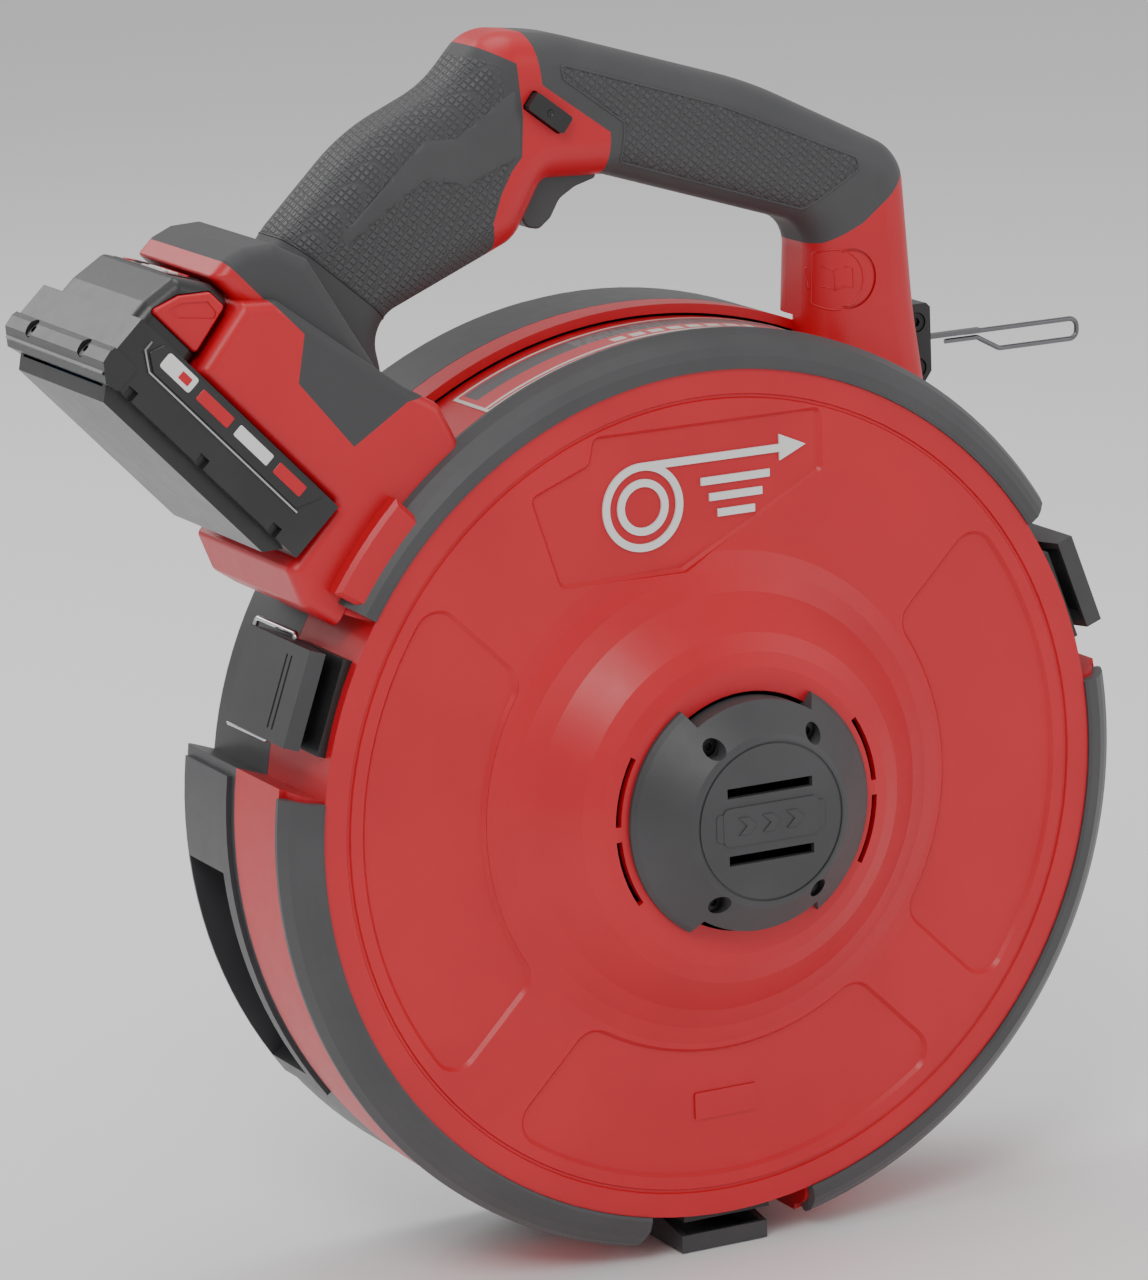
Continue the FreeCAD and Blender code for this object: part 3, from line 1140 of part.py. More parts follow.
def cassette_shell():
    """Rear drum shell with keepers, slot, pockets and a ribbed rear face."""
    front = SEAM_Y + SEAM_GAP
    outer = ring(0, RIM_R - 0.3, front, REAR_Y)
    edges = [e for e in outer.Edges if abs(e.BoundBox.YMin) < 1e-3 and abs(e.BoundBox.YMax) < 1e-3]
    outer = outer.makeFillet(4.0, edges)
    for deg in LATCH_ANGLES:
        outer = outer.cut(pocket_cut(deg))
    outer = outer.fuse(drum_band())
    outer = outer.fuse(ring(RIM_R - 1, RIM_R + 1.2, front + 4, -5).common(wedge(172.5, 217.0, -60, 5)))
    hollow = ring(0, RIM_R - WALL - 0.3, front - 1, REAR_Y - WALL)
    for deg in LATCH_ANGLES:
        hollow = hollow.cut(pocket_cut(deg, WALL))
    slot = drum_slot()
    slot_wall = ring(FACE_R - WALL, RIM_R - 1, -37, -3).common(wedge(SLOT_ANGLES[0] - 1.2, SLOT_ANGLES[1] + 1.2, -40, 5))
    shell = outer.cut(hollow)
    shell = shell.fuse(slot_wall).cut(slot)
    keepers = [turned(box(FACE_R - 1.5, FACE_R + 9, HOOK_Y - 7, HOOK_Y - WIRE_R - 0.8, -9, 9), deg)
               for deg in LATCH_ANGLES]
    shell = fuse([shell] + keepers)
    shell = shell.cut(tape_passage(0.4))
    recess = revolve([(24, 0.5), (24, -1.2), (96, -1.2), (98, 0.5)])
    shell = shell.cut(recess)
    for deg in range(0, 360, 60):
        rib = box(30, 97, -1.3, 0.0, -2.2, 2.2)
        shell = shell.fuse(turned(rib, deg + 30))
    groove = revolve([(118, 0.5), (118, -0.8), (121, -0.8), (121, 0.5)])
    return shell.cut(groove).cut(ring(0, AXLE_R - 2.0, REAR_Y - 5, REAR_Y + 1))


def drum_axle():
    """Fixed axle of the reel, screwed to the rear face of the drum."""
    pin = ring(0, AXLE_R, -22, REAR_Y - WALL)
    return pin.fuse(ring(0, AXLE_R - 2.0, REAR_Y - WALL - 1, REAR_Y - 0.4)).fuse(ring(AXLE_R - 1, AXLE_R + 5, REAR_Y - WALL - 1.4,
                                                                                    REAR_Y - WALL))


def tape_reel():
    """Reel that carries the wound tape: hub, spoked web, rim and flanges."""
    hub = ring(AXLE_R + RUN_FIT, REEL_HUB_R, COIL_FRONT_Y + 2, COIL_BACK_Y)
    hub = hub.fuse(ring(0, REEL_HUB_R - 1, COIL_FRONT_Y + 2, COIL_FRONT_Y + 9)).cut(hexagon(HEX_APOTHEM + 0.05, -60,
                                                                                       COIL_FRONT_Y + 8.05))
    web = ring(REEL_HUB_R - 1, COIL_IN_R - 2, TAPE_Y - 1.5, TAPE_Y + 1.5)
    windows = [arc_slot(75, 70, 60 * i + 12, 60 * i + 48, TAPE_Y - 3, TAPE_Y + 3) for i in range(6)]
    rim = ring(COIL_IN_R - 3, COIL_IN_R, COIL_FRONT_Y - FLANGE_T, COIL_BACK_Y + FLANGE_T)
    flanges = [ring(COIL_IN_R - 3, FLANGE_R, y, y + FLANGE_T) for y in (COIL_FRONT_Y - FLANGE_T, COIL_BACK_Y)]
    return fuse([hub, web.cut(fuse(windows)), rim] + flanges)


def tape_coil():
    """Wound steel tape."""
    return ring(COIL_IN_R, COIL_OUT_R - 6.5, COIL_FRONT_Y, COIL_BACK_Y)


def nozzle_block():
    """Dark outlet block on the drum that guides the tape."""
    outline = [(NOZZLE_X0, NOZZLE_Z0 + 6), (NOZZLE_X0, NOZZLE_Z1), (NOZZLE_X1 - 1.5, NOZZLE_Z1),
               (NOZZLE_X1, NOZZLE_Z1 - 1.5), (NOZZLE_X1, NOZZLE_Z0 + 8), (NOZZLE_X1 - 6, NOZZLE_Z0)]
    block = prism(outline, SEAM_Y + 0.4, -10)
    block = block.cut(ring(0, RIM_R - 0.2, SEAM_Y - 5, 5))
    block = block.cut(tape_passage(1.0))
    for z in (NOZZLE_Z1 - 6.5, NOZZLE_Z0 + 9.5):
        block = block.cut(ring(0, 3.5, SEAM_Y - 1, SEAM_Y + 2.6, NOZZLE_SCREW_X, z))
        block = block.cut(ring(0, NOZZLE_SCREW_R, SEAM_Y - 1, -14, NOZZLE_SCREW_X, z))
    return block


def nozzle_screws():
    """Two screws in the front face of the outlet block."""
    screws = []
    for z in (NOZZLE_Z1 - 6.5, NOZZLE_Z0 + 9.5):
        head = ring(0, 3.2, SEAM_Y + 0.9, SEAM_Y + 2.6, NOZZLE_SCREW_X, z)
        shank = ring(0, NOZZLE_SCREW_R, SEAM_Y + 2.6, -15, NOZZLE_SCREW_X, z)
        screws.append(head.fuse(shank).cut(hexagon(1.4, SEAM_Y, SEAM_Y + 2.0, NOZZLE_SCREW_X, z)))
    return group(screws)


def nozzle_bush():
    """Steel bush that lines the outlet."""
    outer = box(NOZZLE_X1 - 14, NOZZLE_X1 + 0.8, TAPE_Y - 0.5 * TAPE_W - 2.2, TAPE_Y + 0.5 * TAPE_W + 2.2,
                TAPE_Z - 0.5 * TAPE_T - 2.6, TAPE_Z + 0.5 * TAPE_T + 2.6)
    inner = box(NOZZLE_X1 - 15, NOZZLE_X1 + 2, TAPE_Y - 0.5 * TAPE_W - 0.5, TAPE_Y + 0.5 * TAPE_W + 0.5,
                TAPE_Z - 0.5 * TAPE_T - 0.5, TAPE_Z + 0.5 * TAPE_T + 0.5)
    return outer.cut(inner)


HOOK_WIRE_R = 0.9
HOOK_X0 = NOZZLE_X1 + 9.0
HOOK_LEN = 62.0


def round_path(points, radius):
    """Wire of straight runs joined by tangent arcs, in 3-D."""
    edges = []
    last = points[0]
    for i in range(1, len(points) - 1):
        here = points[i]
        to_before = (points[i - 1] - here).normalize()
        to_after = (points[i + 1] - here).normalize()
        half = 0.5 * to_before.getAngle(to_after)
        reach = radius / math.tan(half)
        start = here + to_before * reach
        end = here + to_after * reach
        centre = here + (to_before + to_after).normalize() * (radius / math.sin(half))
        middle = centre + (here - centre).normalize() * radius
        edges.append(Part.makeLine(last, start))
        edges.append(Part.Arc(start, middle, end).toShape())
        last = end
    edges.append(Part.makeLine(last, points[-1]))
    return Part.Wire(edges)


def wire_rod(points, bend_r, wire_r):
    """Round wire bent along points."""
    path = round_path(points, bend_r)
    along = (points[1] - points[0]).normalize()
    circle = Part.Wire(Part.makeCircle(wire_r, points[0], along))
    return path.makePipeShell([circle], True, False, 2)


def tape_end():
    """Free end of the steel tape with its folded hook eye."""
    tape = box(20, HOOK_X0 + 22, TAPE_Y - 0.5 * TAPE_W, TAPE_Y + 0.5 * TAPE_W, TAPE_Z - 0.5 * TAPE_T, TAPE_Z + 0.5 * TAPE_T)
    z_top = TAPE_Z - 0.3
    low = z_top - 7.2
    points = [V(HOOK_X0 + 16, TAPE_Y, z_top), V(HOOK_X0 + HOOK_LEN, TAPE_Y, z_top), V(HOOK_X0 + HOOK_LEN, TAPE_Y, low),
              V(HOOK_X0 + 30, TAPE_Y, low), V(HOOK_X0 + 21, TAPE_Y, z_top - 2.2), V(HOOK_X0 + 8, TAPE_Y, z_top - 2.2)]
    loop = wire_rod(points, 3.0, HOOK_WIRE_R)
    return tape.fuse(loop)


# ---- Draw latches -------------------------------------------------------------------------
CHEEK_OUT = LEVER_HALF_W - LEVER_T - CHEEK_GAP


def latch_base():
    """Bracket on the pocket floor with two cheeks that carry the hinge pin."""
    floor = box(FACE_R - 2, FACE_R + 2.4, -86, -50, -LEVER_HALF_W, LEVER_HALF_W)
    floor = floor.cut(ring(0, FACE_R, -100, 0))
    pieces = [floor]
    for side in (-1, 1):
        outer = side * CHEEK_OUT
        face = [V(FACE_R - 2, -80, 0), V(FACE_R + 2, -80, 0), V(FACE_R + 4, -62, 0), V(HINGE_R + 1, -48, 0),
                V(HINGE_R + 2, HINGE_Y - 2, 0), V(HINGE_R - 2, HINGE_Y + 2, 0), V(HINGE_R - 5, -45, 0),
                V(FACE_R - 2, -45, 0)]
        plate = Part.Face(Part.makePolygon(face + [face[0]])).extrude(V(0, 0, -side * CHEEK_T))
        plate.translate(V(0, 0, outer))
        eye = rod(V(HINGE_R, HINGE_Y, outer), V(HINGE_R, HINGE_Y, outer - side * CHEEK_T), HINGE_PIN_R + 1.6)
        pieces.append(plate.cut(ring(0, FACE_R, -100, 0)).fuse(eye))
    base = fuse(pieces)
    return base.cut(rod(V(HINGE_R, HINGE_Y, -30), V(HINGE_R, HINGE_Y, 30), HINGE_PIN_R))


def latch_lever():
    """Draw latch lever: channel with a grooved top and flanks down to the pins."""
    top = box(LEVER_TOP_R - LEVER_T, LEVER_TOP_R, LEVER_FRONT_Y, LEVER_BACK_Y, -LEVER_HALF_W, LEVER_HALF_W)
    grooves = [box(LEVER_TOP_R - 0.7, LEVER_TOP_R + 1, y, y + 1.2, -LEVER_HALF_W + 4, LEVER_HALF_W - 4)
               for y in (-73.0, -69.5)]
    top = top.cut(fuse(grooves))
    front = box(LEVER_TOP_R - 6, LEVER_TOP_R, LEVER_FRONT_Y, LEVER_FRONT_Y + 2, -LEVER_HALF_W, LEVER_HALF_W)
    pieces = [top, front]
    for side in (-1, 1):
        inner = side * (LEVER_HALF_W - LEVER_T)
        outer = side * LEVER_HALF_W
        face = [V(LEVER_TOP_R - 1, LEVER_FRONT_Y, 0), V(LEVER_TOP_R - 6, LEVER_FRONT_Y, 0), V(BAIL_R - 2.4, BAIL_Y - 4, 0),
                V(BAIL_R - 2.4, BAIL_Y + 4, 0), V(HINGE_R - 3, HINGE_Y + 2.5, 0), V(LEVER_TOP_R - 1, LEVER_BACK_Y, 0)]
        plate = Part.Face(Part.makePolygon(face + [face[0]])).extrude(V(0, 0, outer - inner))
        plate.translate(V(0, 0, inner))
        pieces.append(plate)
    lever = fuse(pieces)
    lever = lever.cut(rod(V(HINGE_R, HINGE_Y, -30), V(HINGE_R, HINGE_Y, 30), HINGE_PIN_R + RUN_FIT))
    return lever.cut(rod(V(BAIL_R, BAIL_Y, -30), V(BAIL_R, BAIL_Y, 30), WIRE_R + RUN_FIT))


def latch_bail():
    """Steel wire bail from the lever to the keeper on the drum."""
    side = LEVER_HALF_W + 1.7
    stub = LEVER_HALF_W - LEVER_T - 0.1
    points = [V(BAIL_R, BAIL_Y, stub), V(BAIL_R, BAIL_Y, side), V(HOOK_R, HOOK_Y, side),
              V(HOOK_R, HOOK_Y, -side), V(BAIL_R, BAIL_Y, -side), V(BAIL_R, BAIL_Y, -stub)]
    return wire_rod(points, 1.3, WIRE_R)


def latch_pins():
    """Hinge pins of the three latch levers."""
    reach = LEVER_HALF_W - 0.1
    pin = rod(V(HINGE_R, HINGE_Y, -reach), V(HINGE_R, HINGE_Y, reach), HINGE_PIN_R)
    return group([turned(pin, deg) for deg in LATCH_ANGLES])


# ---- Nodes --------------------------------------------------------------------------------
def build_nodes():
    """Every node by name, built in order."""
    top, left, right = bumpers()
    nodes = {
        "front_housing": front_housing(),
        "motor_cap": motor_cap(),
        "cap_screws": cap_screws(),
        "bumper_top": top,
        "bumper_left": left,
        "bumper_right": right,
        "rating_label": rating_label(),
        "emblem": emblem(),
        "handle_shell_rear": handle_shell_rear(),
        "rear_grip": rubber(REAR_SKIN_OUTLINE, True),
        "front_grip": rubber(FRONT_SKIN_OUTLINE, False),
        "handle_screws": handle_screws(),
        "trigger": trigger(),
        "trigger_spring": trigger_spring(),
        "trigger_switch": trigger_switch(),
        "selector": selector(),
        "control_board": control_board(),
        "terminal_block": terminal_block(),
        "motor_stator": motor_stator(),
        "motor_windings": motor_windings(),
        "rotor_shaft": rotor_shaft(),
        "rotor_core": rotor_core(),
        "motor_fan": motor_fan(),
        "motor_bearings": motor_bearings(),
        "gearbox_housing": gearbox_housing(),
        "ring_gear": ring_gear(),
        "planet_pins": planet_pins(),
        "planet_carrier": planet_carrier(),
        "output_bearing": output_bearing(),
        "inner_plate": inner_plate(),
        "cassette_shell": cassette_shell(),
        "drum_axle": drum_axle(),
        "tape_reel": tape_reel(),
        "tape_coil": tape_coil(),
        "nozzle_block": nozzle_block(),
        "nozzle_screws": nozzle_screws(),
        "nozzle_bush": nozzle_bush(),
        "tape_end": tape_end(),
        "latch_pins": latch_pins(),
        "battery_tray": battery_tray(),
        "battery_top": battery_top(),
        "battery_cells": battery_cells(),
        "battery_screws": battery_screws(),
        "battery_contacts": battery_contacts(),
        "release_button_left": release_button(-1),
        "release_button_right": release_button(1),
        "gauge_panel": gauge_panel(),
        "gauge_button": gauge_button(),
    }
    for index in range(len(PLANET_DEGS)):
        nodes["planet_gear_%d" % (index + 1)] = planet_gear(index)
    for deg, name in zip(LATCH_ANGLES, LATCH_NAMES):
        nodes["latch_base_" + name] = turned(latch_base(), deg)
        nodes["latch_lever_" + name] = turned(latch_lever(), deg)
        nodes["latch_bail_" + name] = turned(latch_bail(), deg)
    return nodes


def main():
    """Build every node and write one STEP file each."""
    os.makedirs("parts", exist_ok=True)
    for name, shape in build_nodes().items():
        solids = shape.Solids
        if not solids or not shape.isValid():
            print("check", name, len(solids), shape.isValid())
        result = solids[0] if len(solids) == 1 else Part.Compound(solids)
        result.exportStep("parts/%s.step" % name)
        print("%-22s %2d solids %10.0f mm3" % (name, len(solids), sum(solid.Volume for solid in solids)))


main()
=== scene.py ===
"""Looks of a cordless fish tape reel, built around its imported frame."""

import logging
import math
from dataclasses import dataclass, field
from enum import Enum
from typing import Optional, Sequence, Union

import bmesh
import bpy
from mathutils import Matrix, Vector
from mathutils.bvhtree import BVHTree


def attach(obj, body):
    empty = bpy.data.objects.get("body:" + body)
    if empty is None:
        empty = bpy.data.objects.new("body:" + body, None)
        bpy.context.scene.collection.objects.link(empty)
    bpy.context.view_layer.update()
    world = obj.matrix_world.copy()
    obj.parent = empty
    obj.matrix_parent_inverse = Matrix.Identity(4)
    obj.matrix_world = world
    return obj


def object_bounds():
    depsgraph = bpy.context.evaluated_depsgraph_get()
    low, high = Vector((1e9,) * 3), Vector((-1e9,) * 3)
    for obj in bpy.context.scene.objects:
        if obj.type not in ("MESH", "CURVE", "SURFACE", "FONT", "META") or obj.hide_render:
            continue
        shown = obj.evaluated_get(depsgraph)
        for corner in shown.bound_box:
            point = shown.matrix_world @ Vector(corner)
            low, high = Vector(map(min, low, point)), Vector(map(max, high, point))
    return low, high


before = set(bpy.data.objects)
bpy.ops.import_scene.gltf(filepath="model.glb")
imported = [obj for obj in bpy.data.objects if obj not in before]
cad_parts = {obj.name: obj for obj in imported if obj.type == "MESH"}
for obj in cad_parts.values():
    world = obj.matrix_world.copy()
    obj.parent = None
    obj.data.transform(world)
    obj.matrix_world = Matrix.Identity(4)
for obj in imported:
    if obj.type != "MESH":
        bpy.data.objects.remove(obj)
CAD_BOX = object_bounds()

MM = 0.001
LOG = logging.getLogger("reel")

Colour = tuple[float, float, float]
Pair = tuple[float, float]
Number = Union[float, int]


# ---- Shader building ----------------------------------------------------------------------
class Wire:
    """One output socket of a material, with arithmetic that adds Math nodes."""

    def __init__(self, graph: "Graph", socket: bpy.types.NodeSocket) -> None:
        """Keep the graph and the socket."""
        self.graph = graph
        self.socket = socket

    def _math(self, operation: str, *values: Union["Wire", Number]) -> "Wire":
        """Add one Math node on these values.

        Args:
            operation: Name of the Math node's operation.
            values: Wires or numbers for its inputs in order.

        Returns:
            The node's output.
        """
        return self.graph.node("ShaderNodeMath", {"operation": operation}, dict(enumerate(values)))

    def __add__(self, other: Union["Wire", Number]) -> "Wire":
        """Sum."""
        return self._math("ADD", self, other)

    __radd__ = __add__

    def __sub__(self, other: Union["Wire", Number]) -> "Wire":
        """Difference."""
        return self._math("SUBTRACT", self, other)

    def __rsub__(self, other: Number) -> "Wire":
        """Difference with the wire on the right."""
        return self._math("SUBTRACT", other, self)

    def __mul__(self, other: Union["Wire", Number]) -> "Wire":
        """Product."""
        return self._math("MULTIPLY", self, other)

    __rmul__ = __mul__

    def __truediv__(self, other: Union["Wire", Number]) -> "Wire":
        """Quotient."""
        return self._math("DIVIDE", self, other)

    def __gt__(self, other: Union["Wire", Number]) -> "Wire":
        """1 where greater, else 0."""
        return self._math("GREATER_THAN", self, other)

    def __lt__(self, other: Union["Wire", Number]) -> "Wire":
        """1 where less, else 0."""
        return self._math("LESS_THAN", self, other)

    def step(self, start: float, end: float) -> "Wire":
        """Ramp smoothly from 0 at start to 1 at end.

        Args:
            start: Value where the ramp leaves 0.
            end: Value where it reaches 1.

        Returns:
            The ramp.
        """
        settings = {"interpolation_type": "SMOOTHSTEP"}
        return self.graph.node("ShaderNodeMapRange", settings,
                               {"Value": self, "From Min": start, "From Max": end})


class Graph:
    """A material under construction around one Principled shader."""

    def __init__(self, name: str) -> None:
        """Start an empty material with its shader and output."""
        self.material = bpy.data.materials.new(name)
        self.material.use_nodes = True
        self.tree = self.material.node_tree
        self.tree.nodes.clear()
        self.shader = self.tree.nodes.new("ShaderNodeBsdfPrincipled")
        output = self.tree.nodes.new("ShaderNodeOutputMaterial")
        self.tree.links.new(self.shader.outputs["BSDF"], output.inputs["Surface"])

    def node(self, kind: str, settings: Optional[dict] = None, inputs: Optional[dict] = None,
             output: Union[int, str] = 0) -> Wire:
        """Add any node.

        Args:
            kind: Blender's node type.
            settings: Properties of the node, set first.
            inputs: Values or wires by socket name or index.
            output: Which output to return.

        Returns:
            The chosen output.
        """
        made = self.tree.nodes.new(kind)
        for key, value in (settings or {}).items():
            setattr(made, key, value)
        for key, value in (inputs or {}).items():
            if isinstance(value, Wire):
                self.tree.links.new(value.socket, made.inputs[key])
            else:
                made.inputs[key].default_value = value
        return Wire(self, made.outputs[output])

    def place(self) -> Wire:
        """Position on the object, in metres."""
        return self.node("ShaderNodeTexCoord", output="Object")

    def axes(self) -> tuple[Wire, Wire, Wire]:
        """The position's three parts."""
        split = self.node("ShaderNodeSeparateXYZ", inputs={0: self.place()})
        sockets = split.socket.node.outputs
        return Wire(self, sockets[0]), Wire(self, sockets[1]), Wire(self, sockets[2])

    def noise(self, scale: float, detail: float = 3.0, stretch: Optional[Sequence[float]] = None) -> Wire:
        """Soft noise.

        Args:
            scale: Cells per metre.
            detail: Octaves.
            stretch: Scale of each axis, or None.

        Returns:
            The noise value.
        """
        where = self.place()
        if stretch:
            where = self.node("ShaderNodeVectorMath", {"operation": "MULTIPLY"},
                              {0: where, 1: tuple(stretch)})
        return self.node("ShaderNodeTexNoise", {}, {"Vector": where, "Scale": scale, "Detail": detail}, "Fac")

    def blend(self, factor: Union[Wire, float], first: Union[Wire, Colour],
              second: Union[Wire, Colour]) -> Wire:
        """Mix two colours.

        Args:
            factor: 0 gives the first colour and 1 the second.
            first: A colour or a wire.
            second: A colour or a wire.

        Returns:
            The mixed colour.
        """
        colours = [value if isinstance(value, Wire) else (*value, 1.0) for value in (first, second)]
        return self.node("ShaderNodeMix", {"data_type": "RGBA"}, {0: factor, 6: colours[0], 7: colours[1]}, 2)

    def bump(self, height: Wire, distance: float, strength: float = 1.0,
             below: Optional[Wire] = None) -> Wire:
        """Add a Bump node.

        Args:
            height: Height from 0 to 1.
            distance: Depth in metres.
            strength: Share of the effect.
            below: Normal from another bump.

        Returns:
            The normal.
        """
        inputs: dict = {"Height": height, "Distance": distance, "Strength": strength}
        if below:
            inputs["Normal"] = below
        return self.node("ShaderNodeBump", {}, inputs)

    def finish(self, **sockets: Union[Wire, float, Colour]) -> bpy.types.Material:
        """Fill the shader's sockets.

        Args:
            sockets: Values or wires by socket name, with _ for a space.

        Returns:
            The material.
        """
        for key, value in sockets.items():
            target = self.shader.inputs[key.replace("_", " ")]
            if isinstance(value, Wire):
                self.tree.links.new(value.socket, target)
            else:
                is_colour = isinstance(value, tuple) and len(value) == 3
                target.default_value = (*value, 1.0) if is_colour else value
        return self.material


# ---- Finishes -----------------------------------------------------------------------------
@dataclass(frozen=True)
class MouldedPlastic:
    """Injection moulded plastic with a fine spark-eroded grain."""

    name: str
    colour: Colour
    roughness: float = 0.42
    grain: float = 0.00005
    grain_scale: float = 1900.0
    mottle: float = 0.05
    coat: float = 0.0

    def build(self) -> bpy.types.Material:
        """Build the material."""
        graph = Graph(self.name)
        cloud = graph.noise(22.0, 4.0)
        wear = graph.noise(160.0, 5.0)
        dark = tuple(channel * (1 - self.mottle) for channel in self.colour)
        light = tuple(min(1.0, channel * (1 + self.mottle) + 0.002) for channel in self.colour)
        grain = graph.noise(self.grain_scale, 2.0)
        rough = self.roughness + (cloud - 0.5) * 0.10 + (wear - 0.5) * 0.10
        return graph.finish(Base_Color=graph.blend(cloud.step(0.3, 0.7), dark, light), Roughness=rough,
                            Normal=graph.bump(grain, self.grain, 0.5), Coat_Weight=self.coat,
                            Coat_Roughness=0.25, Specular_IOR_Level=0.5)


@dataclass(frozen=True)
class SoftRubber:
    """Matte overmoulded rubber."""

    name: str
    colour: Colour
    roughness: float = 0.6

    def build(self) -> bpy.types.Material:
        """Build the material."""
        graph = Graph(self.name)
        cloud = graph.noise(35.0, 4.0)
        dust = graph.noise(500.0, 4.0)
        pale = tuple(channel * 1.18 + 0.002 for channel in self.colour)
        grain = graph.noise(2600.0, 2.0)
        return graph.finish(Base_Color=graph.blend(cloud.step(0.25, 0.75), self.colour, pale),
                            Roughness=self.roughness + (cloud - 0.5) * 0.12 + (dust - 0.5) * 0.08,
                            Normal=graph.bump(grain, 0.00006, 0.6), Sheen_Weight=0.08, Sheen_Roughness=0.5)


@dataclass(frozen=True)
class GripRubber:
    """Overmoulded rubber with raised diamonds between two slanting limits; the diamonds are painted paler as painted
    highlight.

    A limit is (x, z, nx, nz): the texture fades in past the line through x, z along the normal.
    """

    name: str
    colour: Colour
    limits: tuple[tuple[float, float, float, float], ...]
    pitch: float = 0.0021
    height: float = 0.00042

    def build(self) -> bpy.types.Material:
        """Build the material."""
        graph = Graph(self.name)
        x, y, z = graph.axes()
        turn = graph.node("ShaderNodeVectorRotate", {"rotation_type": "EULER_XYZ"},
                          {"Vector": graph.place(), "Rotation": (0.62, math.radians(38), 0.62)})
        cells = graph.node("ShaderNodeTexVoronoi", {"feature": "F1", "distance": "CHEBYCHEV"},
                           {"Vector": turn, "Scale": 1 / self.pitch, "Randomness": 0.0}, "Distance")
        diamonds = 1 - cells.step(0.28, 0.5)
        mask: Union[Wire, float] = 1.0
        for px, pz, nx, nz in self.limits:
            side = (x - px) * nx + (z - pz) * nz
            mask = side.step(0.0, 0.0012) * mask
        cloud = graph.noise(40.0, 4.0)
        pale = tuple(channel * 1.25 for channel in self.colour)
        # Painted highlight: the raised diamonds are painted paler; the cloud noise adds random tone.
        diamond_highlight_and_tone = graph.blend(diamonds * mask * 0.6 + cloud * 0.3, self.colour, pale)
        fine = graph.bump(graph.noise(2600.0, 2.0), 0.00005, 0.5)
        return graph.finish(Base_Color=diamond_highlight_and_tone, Roughness=0.66 - diamonds * mask * 0.14 + (cloud - 0.5) * 0.1,
                            Normal=graph.bump(diamonds * mask, self.height, 0.9, fine),
                            Sheen_Weight=0.06, Sheen_Roughness=0.5)


@dataclass(frozen=True)
class BrightMetal:
    """Plated or drawn steel with fine lines along it."""

    name: str
    colour: Colour
    roughness: float = 0.24
    lines: tuple[float, float, float] = (40.0, 40.0, 40.0)

    def build(self) -> bpy.types.Material:
        """Build the material."""
        graph = Graph(self.name)
        streak = graph.noise(60.0, 3.0, self.lines)
        cloud = graph.noise(90.0, 3.0)
        dark = tuple(channel * 0.82 for channel in self.colour)
        return graph.finish(Base_Color=graph.blend(cloud, dark, self.colour), Metallic=1.0,
                            Roughness=self.roughness + (streak - 0.5) * 0.2,
                            Normal=graph.bump(streak, 0.00002, 0.4))


@dataclass(frozen=True)
class RimLabel:
    """Printed film on the rim: a pale border round a dark strip and a red strip with pale bars."""

    name: str = "label_film_print"
    start: float = 73.0
    end: float = 118.0
    front: float = -0.0777
    back: float = -0.0515

    def build(self) -> bpy.types.Material:
        """Build the material."""
        graph = Graph(self.name)
        x, y, z = graph.axes()
        angle = graph.node("ShaderNodeMath", {"operation": "ARCTAN2"}, {0: z, 1: x}) * (180 / math.pi)
        depth = (y - self.front) / (self.back - self.front)
        inside = (angle > self.start + 0.5) * (angle < self.end - 0.5) * (depth > 0.05) * (depth < 0.95)
        dark = (depth > 0.52) * (depth < 0.90) * (angle > self.start + 1.2) * (angle < self.end - 1.2)
        rows = graph.node("ShaderNodeMath", {"operation": "PINGPONG"}, {0: depth, 1: 0.0275}) / 0.0275
        words = graph.noise(900.0, 2.0, (1.0, 0.15, 1.0)).step(0.42, 0.5)
        print_lines = (rows > 0.55) * words * (angle > self.start + 3) * (angle < self.end - 16) * 0.45
        bar = (depth > 0.10) * (depth < 0.16)
        blocks = (depth > 0.24) * (depth < 0.42) * (angle > 79.0) * (angle < 99.0)
        block_gaps = graph.node("ShaderNodeMath", {"operation": "PINGPONG"}, {0: angle, 1: 1.3}) / 1.3
        cream = (0.72, 0.69, 0.62)
        base = graph.blend(inside, cream, (0.62, 0.03, 0.04))
        base = graph.blend(dark, base, (0.075, 0.075, 0.08))
        base = graph.blend(dark * print_lines, base, (0.38, 0.38, 0.38))
        base = graph.blend((bar + blocks * (block_gaps > 0.3)).step(0.4, 0.6) * inside, base, cream)
        scuff = graph.noise(140.0, 5.0)
        return graph.finish(Base_Color=base, Roughness=0.30 + scuff * 0.12, Coat_Weight=0.3,
                            Coat_Roughness=0.12, Normal=graph.bump(scuff, 0.00002, 0.3))


class Tint(Enum):
    """Colours of the object's mouldings and metals, linear."""

    RED = (0.56, 0.006, 0.016)
    CHARCOAL = (0.052, 0.052, 0.055)
    DRUM_GREY = (0.046, 0.046, 0.050)
    NEAR_BLACK = (0.021, 0.021, 0.022)
    PACK_BLACK = (0.022, 0.022, 0.023)
    WHITE = (0.78, 0.78, 0.77)
    SILVER = (0.72, 0.73, 0.75)
    STEEL = (0.44, 0.44, 0.46)
    SPRING = (0.20, 0.20, 0.21)
    BLACK_OXIDE = (0.05, 0.05, 0.05)
    COPPER = (0.80, 0.36, 0.18)
    BRASS = (0.75, 0.55, 0.25)
    SLEEVE = (0.05, 0.16, 0.34)
    BOARD = (0.02, 0.16, 0.06)


